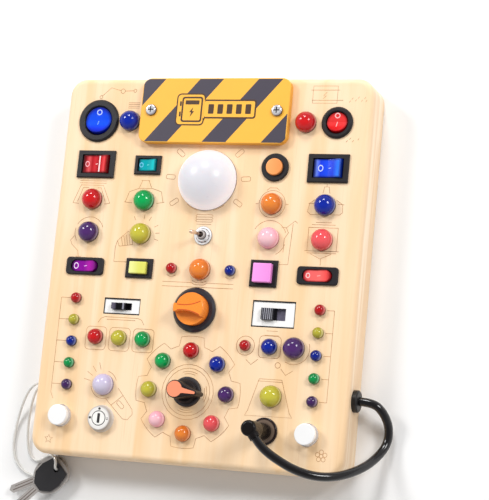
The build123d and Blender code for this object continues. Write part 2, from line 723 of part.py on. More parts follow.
with BuildPart() as round_rocker_housings:
    for spot, bezel, radius in ((large_round_spot, large_round_bezel_radius, large_round_rocker_radius),
                                (small_round_spot, small_round_bezel_radius, small_round_rocker_radius)):
        mouth = radius + rocker_side_gap
        with BuildSketch(Plane(origin=(*spot, face_z), x_dir=(1, 0, 0), z_dir=(0, -1, 0))):
            Polygon((mouth, -switch_depth), (radius + round_body_wall, -switch_depth),
                    (radius + round_body_wall, 0), (bezel, 0), (bezel, round_bezel_height * 0.45),
                    (bezel - round_bezel_height * 0.55, round_bezel_height),
                    (mouth + bezel_edge, round_bezel_height), (mouth, round_bezel_height - bezel_edge), align=None)
        revolve(axis=Axis((*spot, face_z), (0, 0, 1)))
        with Locations((*spot, body_bottom)):
            Cylinder(mouth + round_body_wall / 2, pivot_z - cavity_depth(2 * radius) - body_bottom, align=bottom)
        pin_holes(spot, 2 * radius, "x")
save(round_rocker_housings, "round_rocker_housings")

straight_rocker(wide_spots["wide_rocker_red"], wide_rocker_length, wide_rocker_width, "wide_rocker_red")
straight_rocker(wide_spots["wide_rocker_blue"], wide_rocker_length, wide_rocker_width, "wide_rocker_blue")
straight_rocker(small_spot, small_rocker_length, small_rocker_width, "small_rocker_teal")
for name, spot in oval_spots.items():
    oval_rocker(spot, oval_rocker_length, oval_rocker_width, name)
round_rocker(large_round_spot, large_round_rocker_radius, "round_rocker_blue")
round_rocker(small_round_spot, small_round_rocker_radius, "round_rocker_red")

# Brass blades under every switch body.
with BuildPart() as switch_blades:
    for spot in (*wide_spots.values(), small_spot, *oval_spots.values(), lime_spot,
                 large_round_spot, small_round_spot, round_button_spot, pink_spot):
        with Locations((spot[0] - 4.0, spot[1], body_bottom), (spot[0] + 4.0, spot[1], body_bottom)):
            Box(blade_thickness, blade_width, blade_length, align=top)
save(switch_blades, "switch_blades")

# ---- Push buttons: a head on a wider foot, guided by its housing ----
foot_top = face_z - button_keep
foot_bottom = foot_top - button_skirt_height
well_bottom = foot_bottom - button_travel - button_floor_gap

with BuildPart() as round_button_housing:
    with Locations((*round_button_spot, face_z)):
        Cylinder(round_button_bezel_radius, bezel_height, align=bottom)
    fillet(round_button_housing.faces().sort_by(Axis.Z)[-1].edges(), bezel_edge)
    with Locations((*round_button_spot, face_z)):
        Cylinder(round_button_radius + round_body_wall, switch_depth, align=top)
    with Locations((*round_button_spot, face_z + bezel_height)):
        Cylinder(round_button_radius + button_gap, bezel_height + face_z - foot_top - button_gap,
                 align=top, mode=Mode.SUBTRACT)
    with Locations((*round_button_spot, foot_top + button_gap)):
        Cylinder(round_button_radius + button_skirt + button_gap, foot_top + button_gap - well_bottom,
                 align=top, mode=Mode.SUBTRACT)
save(round_button_housing, "round_button_housing")

with BuildPart() as round_button:
    with Locations((*round_button_spot, foot_top)):
        Cylinder(round_button_radius, face_z + round_button_height - foot_top, align=bottom)
    fillet(round_button.faces().sort_by(Axis.Z)[-1].edges(), button_edge)
    with Locations((*round_button_spot, foot_top)):
        Cylinder(round_button_radius + button_skirt, button_skirt_height, align=top)
save(round_button, "round_button")


def square_housing(spot, bezel_length, bezel_width, body_length, body_width, length, width, name):
    """A rectangular bezel and body with a stepped well for the button."""
    with BuildPart() as housing:
        with Locations((*spot, face_z)):
            Box(bezel_length, bezel_width, bezel_height, align=bottom)
        chamfer(housing.faces().sort_by(Axis.Z)[-1].edges(), bezel_edge)
        with Locations((*spot, face_z)):
            Box(body_length, body_width, switch_depth, align=top)
        with Locations((*spot, face_z + bezel_height)):
            Box(length + 2 * button_gap, width + 2 * button_gap,
                bezel_height + face_z - foot_top - button_gap, align=top, mode=Mode.SUBTRACT)
        with Locations((*spot, foot_top + button_gap)):
            Box(length + 2 * (button_skirt + button_gap), width + 2 * (button_skirt + button_gap),
                foot_top + button_gap - well_bottom, align=top, mode=Mode.SUBTRACT)
    save(housing, name)


def square_button(spot, length, width, height, name):
    """A block with softened edges, on a foot that the bezel keeps in."""
    with BuildPart() as button:
        with Locations((*spot, foot_top)):
            Box(length, width, face_z + height - foot_top, align=bottom)
        fillet(button.edges().filter_by(Axis.Z), button_edge)
        fillet(button.faces().sort_by(Axis.Z)[-1].edges(), button_edge)
        with Locations((*spot, foot_top)):
            Box(length + 2 * button_skirt, width + 2 * button_skirt, button_skirt_height, align=top)
    save(button, name)


square_housing(lime_spot, lime_bezel_length, lime_bezel_width, small_body_length, small_body_width,
               lime_button_length, lime_button_width, "lime_button_housing")
square_button(lime_spot, lime_button_length, lime_button_width, lime_button_height, "lime_button")
square_housing(pink_spot, pink_bezel_length, pink_bezel_width, wide_body_width, wide_body_width,
               pink_button_length, pink_button_width, "pink_button_housing")
square_button(pink_spot, pink_button_length, pink_button_width, pink_button_height, "pink_button")

# White push buttons: a broad head above a short metal ring, its stem guided in the body.
with BuildPart() as white_button_housings:
    with Locations(*at(white_spots.values(), face_z)):
        Cylinder(white_ring_radius, white_ring_height, align=bottom)
        Cylinder(white_body_radius, switch_depth, align=top)
    with Locations(*at(white_spots.values(), face_z + white_ring_height)):
        Cylinder(white_stem_radius + button_gap, white_stem_length, align=top, mode=Mode.SUBTRACT)
save(white_button_housings, "white_button_housings")

white_head_bottom = face_z + white_ring_height + button_travel + white_head_gap
for name, spot in white_spots.items():
    with BuildPart() as white_button:
        with Locations((*spot, white_head_bottom)):
            Cylinder(white_head_radius, face_z + white_button_height - white_head_bottom, align=bottom)
        fillet(white_button.faces().sort_by(Axis.Z)[-1].edges(), button_edge)
        with Locations((*spot, white_head_bottom)):
            Cylinder(white_stem_radius, white_stem_length, align=top)
    save(white_button, name)

# ---- Toggle switch ----
toggle_spot = (toggle_x, toggle_y, face_z)
with BuildPart() as toggle_housing:
    with Locations(toggle_spot):
        Cylinder(toggle_washer_radius, toggle_washer_thickness, align=bottom)
    with BuildSketch(Plane.XY.offset(face_z + toggle_washer_thickness)):
        with Locations((toggle_x, toggle_y)):
            RegularPolygon(toggle_nut_flats / 2, 6, major_radius=False)
    extrude(amount=toggle_nut_height)
    with Locations(toggle_spot):
        Cylinder(toggle_bushing_radius, toggle_bushing_height, align=bottom)
        Cylinder(toggle_bushing_radius, face_wall, align=top)
    with Locations((toggle_x, toggle_y, under_face)):
        Box(toggle_body_length, toggle_body_width, toggle_body_depth, align=top)
    with Locations((toggle_x, toggle_y, face_z + toggle_bushing_height)):
        Cylinder(toggle_bore_radius, toggle_bore_depth, align=top, mode=Mode.SUBTRACT)
save(toggle_housing, "toggle_housing")

lever_angle = math.radians(toggle_tilt)
lever_up = Vector(-math.sin(lever_angle), 0, math.cos(lever_angle))
lever_side = Vector(math.cos(lever_angle), 0, math.sin(lever_angle))
toggle_pivot = (toggle_x, toggle_y, face_z + toggle_pivot_height)
with BuildPart() as toggle_lever:
    with BuildSketch(Plane(origin=toggle_pivot, x_dir=lever_side, z_dir=(0, -1, 0))):
        with BuildLine():
            Polyline((0, 0), (toggle_root_radius, 0), (toggle_root_radius, toggle_root_length),
                     (toggle_tip_radius, toggle_lever_length - toggle_tip_radius))
            RadiusArc((toggle_tip_radius, toggle_lever_length - toggle_tip_radius), (0, toggle_lever_length),
                      -toggle_tip_radius)
            Line((0, toggle_lever_length), (0, 0))
        make_face()
    revolve(axis=Axis(toggle_pivot, lever_up))
    with Locations(toggle_pivot):
        Sphere(toggle_bore_radius - toggle_ball_gap)
save(toggle_lever, "toggle_lever")

# ---- Slide switches: a white plate in the wood, a black body behind it ----
plate_top = face_z - slide_sink

with BuildPart() as slide_plates:
    for spot, length, width, slot_length, slot_width in (
            (left_slide, left_plate_length, left_plate_width, left_slot_length, left_slot_width),
            (right_slide, right_plate_length, right_plate_width, right_slot_length, right_slot_width)):
        with Locations((*spot, plate_top)):
            Box(length, width, slide_plate_thickness, align=top)
            Box(slot_length, slot_width, slide_plate_thickness, align=top, mode=Mode.SUBTRACT)
save(slide_plates, "slide_plates")

plate_bottom = plate_top - slide_plate_thickness
with BuildPart() as slide_bodies:
    for spot, length, width, slot_length, slot_width in (
            (left_slide, left_plate_length, left_plate_width, left_slot_length, left_slot_width),
            (right_slide, right_plate_length, right_plate_width, right_slot_length, right_slot_width)):
        with Locations((*spot, plate_bottom)):
            Box(length, width, plate_bottom - under_face + slide_body_depth, align=top)
        with Locations((*spot, under_face)):
            Box(length + 2 * slide_body_rim, width + 2 * slide_body_rim, slide_body_wall, align=top)
        with Locations((*spot, plate_bottom)):
            Box(slot_length + 2 * carriage_rim + 2 * thumb_gap, slot_width + 2 * carriage_rim + 2 * carriage_gap,
                carriage_thickness + 2 * carriage_gap, align=top, mode=Mode.SUBTRACT)
save(slide_bodies, "slide_bodies")


def thumb(spot, slot_length, slot_width, length, height, dip, ribs, name):
    """A thumb piece at the left end of its slot, on a carriage that runs behind the plate."""
    middle = (spot[0] - slot_length / 2 + thumb_gap + length / 2, spot[1])
    width = slot_width - 2 * thumb_gap
    crest = plate_top + height
    with BuildPart() as slider:
        with BuildSketch(Plane(origin=(*middle, 0), x_dir=(1, 0, 0), z_dir=(0, -1, 0))):
            with BuildLine():
                base = plate_bottom - carriage_gap
                shoulder = crest - thumb_shoulder
                Polyline((-length / 2, shoulder), (-length / 2, base), (length / 2, base), (length / 2, shoulder))
                ThreePointArc((length / 2, shoulder), (0, shoulder - dip), (-length / 2, shoulder))
            make_face()
        extrude(amount=width / 2, both=True)
        if ribs:
            pitch = length / (ribs + 1)
            with Locations(*[(middle[0] + (n - (ribs - 1) / 2) * pitch, middle[1], crest) for n in range(ribs)]):
                Box(thumb_groove_width, width, 2 * (thumb_rib_depth + thumb_shoulder), mode=Mode.SUBTRACT)
        with Locations((*middle, plate_bottom - carriage_gap)):
            Box(length + 2 * carriage_rim, width + 2 * carriage_rim, carriage_thickness, align=top)
    save(slider, name)


thumb(left_slide, left_slot_length, left_slot_width, left_thumb_length, left_thumb_height,
      left_thumb_dip, 0, "left_slide_thumb")
thumb(right_slide, right_slot_length, right_slot_width, right_thumb_length, right_thumb_height,
      right_thumb_dip, thumb_ribs, "right_slide_thumb")

# ---- Big rotary selector ----
selector_spot = (selector_x, selector_y)
with BuildPart() as selector_base:
    with Locations((*selector_spot, face_z)):
        Cylinder(selector_ring_radius, selector_ring_height, align=bottom)
    chamfer(selector_base.faces().sort_by(Axis.Z)[-1].edges(), selector_ring_bevel)
    with Locations((*selector_spot, face_z)):
        Cylinder(selector_body_radius, switch_depth, align=top)
    with Locations((*selector_spot, face_z + selector_ring_height)):
        Cylinder(selector_knob_radius + knob_clearance, selector_ring_height - selector_floor,
                 align=top, mode=Mode.SUBTRACT)
        Cylinder(shaft_radius + shaft_gap, selector_ring_height + switch_depth - shaft_wall,
                 align=top, mode=Mode.SUBTRACT)
save(selector_base, "selector_base")

knob_floor = face_z + selector_floor + knob_clearance
shaft_end = face_z - switch_depth + shaft_wall + shaft_end_gap
skirt_top = knob_floor + selector_skirt_height
knob_top = face_z + selector_knob_height
with BuildPart() as selector_knob:
    with Locations((*selector_spot, knob_floor)):
        Cylinder(selector_knob_radius, knob_top - knob_floor, align=bottom)
    fillet(selector_knob.faces().sort_by(Axis.Z)[-1].edges(), selector_knob_edge)
    with BuildSketch(Plane.XY.offset(skirt_top)):
        with Locations(*[(selector_x - selector_scoop_offset,
                          selector_y + j * (selector_bar_half + selector_scoop_radius)) for j in (-1, 1)]):
            Circle(selector_scoop_radius)
    extrude(amount=knob_top - skirt_top, mode=Mode.SUBTRACT)
    with BuildSketch(Plane.XY.offset(skirt_top)):
        with Locations((selector_x - selector_knob_radius, selector_y)):
            Rectangle(selector_nose_length, 2 * selector_bar_half, align=(Align.MIN, Align.CENTER))
    extrude(amount=knob_top - skirt_top - selector_nose_drop)
    with Locations((*selector_spot, knob_floor)):
        Cylinder(shaft_radius, knob_floor - shaft_end, align=top)
save(selector_knob, "selector_knob")

# ---- Gear selector in the ring of eight lamps ----
gear_spot = (ring_x, ring_y)
with BuildPart() as gear_selector_base:
    with Locations((*gear_spot, face_z)):
        Cylinder(gear_base_radius, gear_base_height, align=bottom)
    fillet(gear_selector_base.faces().sort_by(Axis.Z)[-1].edges(), gear_knob_edge)
    with Locations((*gear_spot, face_z)):
        Cylinder(gear_body_radius, switch_depth, align=top)
    with Locations((*gear_spot, face_z + gear_base_height)):
        Cylinder(shaft_radius + shaft_gap, gear_base_height + switch_depth - shaft_wall,
                 align=top, mode=Mode.SUBTRACT)
save(gear_selector_base, "gear_selector_base")

gear_floor = face_z + gear_base_height + knob_clearance
gear_turn = math.radians(gear_knob_turn)
gear_plane = Plane(origin=(*gear_spot, gear_floor), x_dir=(math.cos(gear_turn), math.sin(gear_turn), 0), z_dir=(0, 0, 1))
with BuildPart() as gear_selector_knob:
    with Locations((*gear_spot, gear_floor)):
        Cylinder(gear_knob_skirt_radius, gear_knob_skirt_height, align=bottom)
    chamfer(gear_selector_knob.faces().sort_by(Axis.Z)[-1].edges(), gear_knob_skirt_height / 2)
    with BuildSketch(gear_plane):
        with Locations((-gear_knob_head_offset, 0)):
            Circle(gear_knob_head_radius)
        with Locations((gear_knob_reach - gear_knob_tip_radius, 0)):
            Circle(gear_knob_tip_radius)
        make_hull()
    extrude(amount=face_z + gear_knob_height - gear_floor)
    fillet(gear_selector_knob.faces().sort_by(Axis.Z)[-1].edges(), gear_knob_edge)
    with Locations((*gear_spot, gear_floor)):
        Cylinder(shaft_radius, gear_floor - shaft_end, align=top)
save(gear_selector_knob, "gear_selector_knob")

# ---- Key lock ----
lock_spot = (lock_x, lock_y)
barrel_end = face_z - lock_barrel_depth
with BuildPart() as lock_housing:
    with Locations((*lock_spot, face_z)):
        Cone(lock_flange_radius, lock_face_radius, lock_height, align=bottom)
        Cylinder(lock_barrel_radius, lock_barrel_depth, align=top)
    fillet(lock_housing.faces().sort_by(Axis.Z)[-1].edges(), 0.6)
    with Locations((*lock_spot, face_z + lock_height)):
        Cylinder(lock_rotor_radius + shaft_gap, lock_height + lock_barrel_depth, align=top, mode=Mode.SUBTRACT)
    with BuildSketch(Plane.XY.offset(under_face)):
        with Locations(lock_spot):
            RegularPolygon(lock_nut_radius, 6)
            Circle(lock_barrel_radius + fit_gap, mode=Mode.SUBTRACT)
    extrude(amount=-lock_nut_height)
save(lock_housing, "lock_housing")

with BuildPart() as lock_cylinder:
    with Locations((*lock_spot, face_z + lock_height + lock_rotor_proud)):
        Cylinder(lock_rotor_radius, lock_height + lock_rotor_proud + lock_barrel_depth + seat_gap, align=top)
        Box(keyway_width, keyway_length, keyway_depth, align=top, mode=Mode.SUBTRACT)
    with Locations((lock_x, lock_y + (cam_length - cam_width) / 2, barrel_end - seat_gap)):
        Box(cam_width, cam_length, cam_thickness, align=top)
save(lock_cylinder, "lock_cylinder")

# ---- Jack socket, plug and patch cable ----
jack_spot = (jack_x, jack_y)
with BuildPart() as jack_socket:
    with Locations((*jack_spot, face_z)):
        Cylinder(jack_flange_radius, jack_flange_height, align=bottom)
    fillet(jack_socket.faces().sort_by(Axis.Z)[-1].edges(), 0.8)
    with Locations((*jack_spot, face_z)):
        Cylinder(jack_barrel_radius, jack_depth, align=top)
    with Locations((*jack_spot, face_z + jack_flange_height)):
        Cylinder(plug_pin_radius + shaft_gap, jack_flange_height + plug_pin_length + plug_pin_room,
                 align=top, mode=Mode.SUBTRACT)
save(jack_socket, "jack_socket")

plug_foot = face_z + jack_flange_height + fit_gap
plug_end = plug_foot + plug_length
boss_way = Vector(math.cos(math.radians(plug_boss_turn)), math.sin(math.radians(plug_boss_turn)), 0)
with BuildPart() as patch_plug:
    with Locations((*jack_spot, plug_foot)):
        Cylinder(plug_radius, plug_length, align=bottom)
    fillet(patch_plug.faces().sort_by(Axis.Z)[-1].edges(), plug_end_edge)
    for n in range(plug_groove_count):
        with Locations((*jack_spot, plug_foot + plug_groove_start + plug_groove_pitch * n)):
            Cylinder(plug_radius, plug_groove_width, align=bottom, mode=Mode.SUBTRACT)
            Cylinder(plug_radius - plug_groove_depth, plug_groove_width, align=bottom)
    with Locations((*jack_spot, plug_foot)):
        Cylinder(plug_pin_radius, plug_pin_length, align=top)
    boss_spot = (*jack_spot, plug_end - plug_boss_drop)
    with BuildSketch(Plane(origin=boss_spot, x_dir=(0, 0, 1), z_dir=boss_way)):
        Circle(plug_boss_radius)
    extrude(amount=plug_boss_reach)
save(patch_plug, "patch_plug")

gland_face = board_width / 2 + gland_proud
with BuildPart() as cable_gland:
    with Locations(Location((board_width / 2, gland_y, gland_z), (0, 90, 0))):
        Cylinder(gland_flange_radius, gland_proud, align=bottom)
    chamfer(cable_gland.faces().sort_by(Axis.X)[-1].edges(), 0.9)
    with Locations(Location((board_width / 2, gland_y, gland_z), (0, -90, 0))):
        Cylinder(gland_neck_radius, side_wall, align=bottom)
    with Locations(Location((board_width / 2 - side_wall, gland_y, gland_z), (0, -90, 0))):
        Cylinder(gland_nut_radius, gland_nut_thickness, align=bottom)
save(cable_gland, "cable_gland")


def corner_radii(points):
    """The arc at each corner is as large as its two runs allow."""
    vectors = [Vector(*point) for point in points]
    radii = []
    for before, here, after in zip(vectors, vectors[1:], vectors[2:]):
        turn = math.radians((here - before).get_angle(after - here))
        radii.append(0.45 * min((here - before).length, (after - here).length) / math.tan(turn / 2))
    return radii


def cord(points, radius, name):
    """A round cord along straight runs joined by tangent arcs."""
    radii = corner_radii(points)
    first = Vector(*points[1]) - Vector(*points[0])
    with BuildPart() as tube:
        with BuildLine() as route:
            FilletPolyline(*points, radius=radii)
        with BuildSketch(Plane(origin=points[0], z_dir=first)):
            Circle(radius)
        sweep(path=route.wire())
    length = route.wire().length
    print(f"{name}: length {length:.1f}, volume over section times length "
          f"{tube.part.volume / (math.pi * radius ** 2 * length):.4f}")
    print("  radii", [round(value, 1) for value in radii])
    return tube


# The cable leaves the gland, drops beside the board, rises over its corner and enters the
# plug's boss from the side.
boss_end = Vector(*boss_spot) + boss_way * plug_boss_reach
boss_lead = boss_end + boss_way * plug_boss_lead
cable_points = [
    (gland_face, gland_y, gland_z),
    (gland_face + 10.2, gland_y, gland_z),
    (144.2, -95.6, 12.2),
    (147.6, -106.0, 6.6),
    (146.6, -117.2, 5.8),
    (141.6, -127.6, 13.0),
    (135.1, -136.5, 27.0),
    (124.2, -143.2, 42.5),
    (111.4, -145.2, 52.0),
    (96.9, -142.2, 58.0),
    (83.0, -135.4, 61.6),
    tuple(boss_lead),
    tuple(boss_end),
]
patch_cable = cord(cable_points, cable_radius, "patch_cable")
save(patch_cable, "patch_cable")

# ---- Keys on their string ----
# The string leaves a hole in the left side, lies on the floor, passes up through both keys
# and returns to the hole. Its knot sits behind the wall.
string_end_x = -board_width / 2 + string_tuck
string_points = [
    (string_end_x, string_y + string_apart, string_z),
    (-129.5, string_y + string_apart, string_z),
    (-138.5, -96.6, 11.0),
    (-145.4, -107.6, 6.4),
    (-150.2, -121.0, 2.4),
    (-152.4, -135.2, 1.4),
    (-151.0, -148.6, 1.3),
    (-143.2, -158.6, 1.3),
    (-131.4, -163.2, 1.3),
    (-119.6, -162.8, 1.3),
    (-113.2, -159.9, 1.3),
    (key_x, key_y, 1.5),
    (key_x, key_y, 13.2),
    (-108.0, -149.2, 13.4),
    (-112.4, -145.6, 11.6),
    (-119.2, -145.8, 4.4),
    (-129.6, -151.8, 1.3),
    (-137.2, -147.6, 1.3),
    (-140.0, -136.0, 2.2),
    (-139.2, -121.6, 5.6),
    (-136.0, -107.2, 9.8),
    (-131.4, -96.0, 13.0),
    (-126.4, string_y - string_apart, string_z),
    (string_end_x, string_y - string_apart, string_z),
]
key_string = cord(string_points, string_radius, "key_string")
save(key_string, "key_string")

with BuildPart() as string_knot:
    with Locations(Location((-board_width / 2 + side_wall, string_y, string_z), (0, 90, 0))):
        Cylinder(knot_radius, knot_thickness, align=bottom)
    with Locations(Location((-board_width / 2 + side_wall, string_y, string_z), (0, -90, 0))):
        Cylinder(string_hole_radius - seat_gap, side_wall - string_tuck, align=bottom)
save(string_knot, "string_knot")

key_stack = key_head_thickness * 2 + key_blade_thickness + seat_gap
keys = [(lower_key_turn, key_bed), (upper_key_turn, key_bed + key_stack)]


def key_plane(angle, z):
    """A key's own plane: its origin at the string hole, its X axis towards the tip."""
    turn = math.radians(angle)
    return Plane(origin=(key_x, key_y, z), x_dir=(math.cos(turn), math.sin(turn), 0), z_dir=(0, 0, 1))


with BuildPart() as key_blades:
    for angle, z in keys:
        tip = key_head_length - key_hole_inset + key_blade_length
        with BuildSketch(key_plane(angle, z + key_head_thickness)):
            with BuildLine():
                Polyline((2.8, 7.6), (14.0, 8.4), (key_head_length - key_hole_inset, key_blade_width / 2),
                         (tip - 2.5, key_blade_width / 2), (tip, 0), (tip - 2.5, -key_blade_width / 2),
                         (key_head_length - key_hole_inset, -key_blade_width / 2), (14.0, -8.4), (2.8, -7.6),
                         (2.8, 7.6))
            make_face()
        extrude(amount=key_blade_thickness)
save(key_blades, "key_blades")

with BuildPart() as key_heads:
    for angle, z in keys:
        for layer in (z, z + key_head_thickness + key_blade_thickness):
            with BuildSketch(key_plane(angle, layer)) as head:
                with BuildLine():
                    Polyline((-key_hole_inset, -key_head_width * 0.38), (6.0, -key_head_width / 2),
                             (14.0, -key_head_width * 0.46),
                             (key_head_length - key_hole_inset, -key_blade_width / 2 - 0.8),
                             (key_head_length - key_hole_inset, key_blade_width / 2 + 0.8),
                             (14.0, key_head_width * 0.46), (6.0, key_head_width / 2),
                             (-key_hole_inset, key_head_width * 0.38), (-key_hole_inset, -key_head_width * 0.38))
                make_face()
                fillet(head.vertices(), 1.8)
                Circle(key_hole_radius, mode=Mode.SUBTRACT)
            extrude(amount=key_head_thickness)
save(key_heads, "key_heads")

# ---- Circuit boards: the lamp's, against its flange, and the control board on its feet ----
with BuildPart() as circuit_boards:
    with Locations((lamp_x, lamp_y, under_face - lamp_flange_thickness)):
        Cylinder(lamp_radius + lamp_flange / 2, lamp_board_thickness, align=top)
        with PolarLocations(lamp_radius / 2, lamp_emitters):
            Box(emitter_size, emitter_size, emitter_height, align=bottom)
    with Locations((control_x, control_y, panel_thickness + control_stand)):
        Box(control_length, control_width, control_thickness, align=bottom)
    with Locations((control_x, control_y, panel_thickness)):
        with GridLocations(control_length - 2 * control_foot_inset, control_width - 2 * control_foot_inset, 2, 2):
            Cylinder(control_foot_radius, control_stand, align=bottom)
    with Locations((control_x, control_y, panel_thickness + control_stand + control_thickness)):
        with GridLocations(chip_pitch, 0, 2, 1):
            Box(chip_size, chip_size, chip_height, align=bottom)
save(circuit_boards, "circuit_boards")
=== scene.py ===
import math

import bpy
from mathutils import Matrix, Vector


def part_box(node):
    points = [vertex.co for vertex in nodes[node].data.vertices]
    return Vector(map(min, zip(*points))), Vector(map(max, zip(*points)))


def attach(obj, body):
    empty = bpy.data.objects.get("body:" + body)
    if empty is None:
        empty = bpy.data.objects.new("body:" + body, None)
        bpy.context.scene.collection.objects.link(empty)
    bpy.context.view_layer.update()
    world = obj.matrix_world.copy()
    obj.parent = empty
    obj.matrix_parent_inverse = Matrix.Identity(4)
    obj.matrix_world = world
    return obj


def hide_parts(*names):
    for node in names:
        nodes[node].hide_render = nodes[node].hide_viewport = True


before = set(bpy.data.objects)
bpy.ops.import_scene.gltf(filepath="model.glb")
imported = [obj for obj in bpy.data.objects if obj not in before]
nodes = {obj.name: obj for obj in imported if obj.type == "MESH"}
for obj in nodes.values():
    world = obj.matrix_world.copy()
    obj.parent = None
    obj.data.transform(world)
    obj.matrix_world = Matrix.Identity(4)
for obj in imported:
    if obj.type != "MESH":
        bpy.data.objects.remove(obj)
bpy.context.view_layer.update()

bpy.ops.object.select_all(action="DESELECT")

# ---- Camera ----
# A long lens above the board's right side, turned a little, so that the board's face fills the
# frame and its right edge shows.
camera_right, camera_up = (0.93739, 0.09464, -0.33517), (-0.03551, 0.98332, 0.17836)
camera_back, camera_place = (0.34646, -0.15529, 0.92512), (0.433675, -0.164224, 1.097739)
camera_turn = Matrix((camera_right, camera_up, camera_back)).transposed()


def add_object(name, data):
    """A new object in the scene."""
    thing = bpy.data.objects.new(name, data)
    bpy.context.collection.objects.link(thing)
    return thing


camera_data = bpy.data.cameras.new("camera")
camera_data.lens, camera_data.sensor_width = 113.276, 36
camera_data.clip_start, camera_data.clip_end = 0.05, 20
camera = add_object("camera", camera_data)
camera.matrix_world = Matrix.Translation(camera_place) @ camera_turn.to_4x4()
bpy.context.scene.camera = camera

# ---- Patch cable ----
# A short black cable of soft PVC with a glossy sheath. It comes out of the gland in the right
# side, drops to the table, and climbs over the board's lower edge to the plug in the jack.
cable_diameter = 6.3
cable_route = [(126.5, -88.8, 16), (136.7, -88.8, 16), (144.2, -95.6, 12.2), (147.6, -106, 6.6),
               (146.6, -117.2, 5.8), (141.6, -127.6, 13), (135.1, -136.5, 27), (124.2, -143.2, 42.5),
               (111.4, -145.2, 52), (96.9, -142.2, 58), (83, -135.4, 61.6), (71.73, -127.98, 62.7),
               (67.51, -122.39, 62.7)]


def cord_line(name, route, diameter):
    """A round cord along a route in millimetres."""
    curve = bpy.data.curves.new(name, "CURVE")
    curve.dimensions = "3D"
    spline = curve.splines.new("NURBS")
    spline.points.add(len(route) - 1)
    for point, place in zip(spline.points, route):
        point.co = (*(Vector(place) / 1000), 1)
    spline.order_u = 3
    spline.use_endpoint_u = True
    spline.resolution_u = 10
    spline.use_smooth = True
    curve.bevel_depth = diameter / 2000
    curve.bevel_resolution = 6
    curve.use_fill_caps = True
    return add_object(name, curve)


def rgb(red, green, blue):
    """A colour from its screen values, 0 to 255, as a shader wants it."""
    return tuple((c / 12.92 if c <= 0.04045 else ((c + 0.055) / 1.055) ** 2.4)
                 for c in (red / 255, green / 255, blue / 255)) + (1.0,)


def feed(tree, node, inputs):
    """Fill a node's inputs: each takes a value, or the socket that feeds it."""
    for name, value in inputs.items():
        if isinstance(value, bpy.types.NodeSocket):
            tree.links.new(value, node.inputs[name])
        else:
            node.inputs[name].default_value = value


def add_node(tree, kind, inputs=None, **settings):
    """A shader node with its settings and inputs."""
    node = tree.nodes.new(kind)
    for name, value in settings.items():
        setattr(node, name, value)
    feed(tree, node, inputs or {})
    return node


def calc(tree, operation, *values, clamp=False):
    """The result of a maths node."""
    return add_node(tree, "ShaderNodeMath", dict(enumerate(values)), operation=operation,
                    use_clamp=clamp).outputs[0]


def times(tree, first, *others):
    """The product of values and masks."""
    for other in others:
        first = calc(tree, "MULTIPLY", first, other)
    return first


def ramp(tree, value, low, high, smooth=True):
    """0 below low, 1 above high, and a slope between them."""
    return add_node(tree, "ShaderNodeMapRange", {"Value": value, "From Min": low, "From Max": high},
                    interpolation_type="SMOOTHSTEP" if smooth else "LINEAR").outputs[0]


def blended(tree, factor, first, second):
    """Two colours mixed by a factor."""
    return add_node(tree, "ShaderNodeMix", {0: factor, 6: first, 7: second}, data_type="RGBA").outputs[2]


def coordinate(tree, kind):
    """Where a point lies in the frame, in metres, or which way its surface faces."""
    return add_node(tree, "ShaderNodeTexCoord").outputs[kind]


def axes(tree, kind="Object"):
    """The x, y and z of a coordinate."""
    return add_node(tree, "ShaderNodeSeparateXYZ", {"Vector": coordinate(tree, kind)}).outputs


def noise(tree, scale, detail=2.0, stretch=(1, 1, 1), distortion=0.0):
    """Soft noise through a piece, drawn out along the axes."""
    place = {"Vector": coordinate(tree, "Object"), "Scale": stretch}
    drawn = add_node(tree, "ShaderNodeMapping", place).outputs[0]
    inputs = {"Vector": drawn, "Scale": scale, "Detail": detail, "Distortion": distortion}
    return add_node(tree, "ShaderNodeTexNoise", inputs).outputs[0]


def bumped(tree, strength, distance, height):
    """A normal from a height."""
    inputs = {"Strength": strength, "Distance": distance, "Height": height}
    return add_node(tree, "ShaderNodeBump", inputs).outputs[0]


def build_moulded():
    """Moulded skin: a faint mottle in the colour, uneven gloss, and a fine grain to bump."""
    group = bpy.data.node_groups.new("moulded_skin", "ShaderNodeTree")
    for way, kind, *names in (
            ("INPUT", "Color", "Colour"), ("INPUT", "Float", "Mottle", "Roughness", "Grain", "Depth"),
            ("OUTPUT", "Color", "Colour"), ("OUTPUT", "Float", "Roughness"), ("OUTPUT", "Vector", "Normal")):
        for name in names:
            group.interface.new_socket(name, in_out=way, socket_type="NodeSocket" + kind)
    given = group.nodes.new("NodeGroupInput").outputs
    cloud, grain = noise(group, 90, 3), noise(group, given["Grain"])
    offset = times(group, calc(group, "SUBTRACT", cloud, 0.5), given["Mottle"])
    tinted = add_node(group, "ShaderNodeHueSaturation", {
        "Color": given["Colour"], "Value": calc(group, "MULTIPLY_ADD", offset, 2, 1)}).outputs[0]
    rough = calc(group, "MULTIPLY_ADD", calc(group, "SUBTRACT", grain, 0.5), 0.12,
                 calc(group, "MULTIPLY_ADD", offset, 0.8, given["Roughness"]), clamp=True)
    normal = bumped(group, 0.35, times(group, given["Depth"], 0.001), grain)
    add_node(group, "NodeGroupOutput", {"Colour": tinted, "Roughness": rough, "Normal": normal})
    return group


moulded_skin = build_moulded()


def new_material(name):
    """A material with its node tree and its shader."""
    material = bpy.data.materials.new(name)
    material.use_nodes = True
    return material, material.node_tree, material.node_tree.nodes["Principled BSDF"]


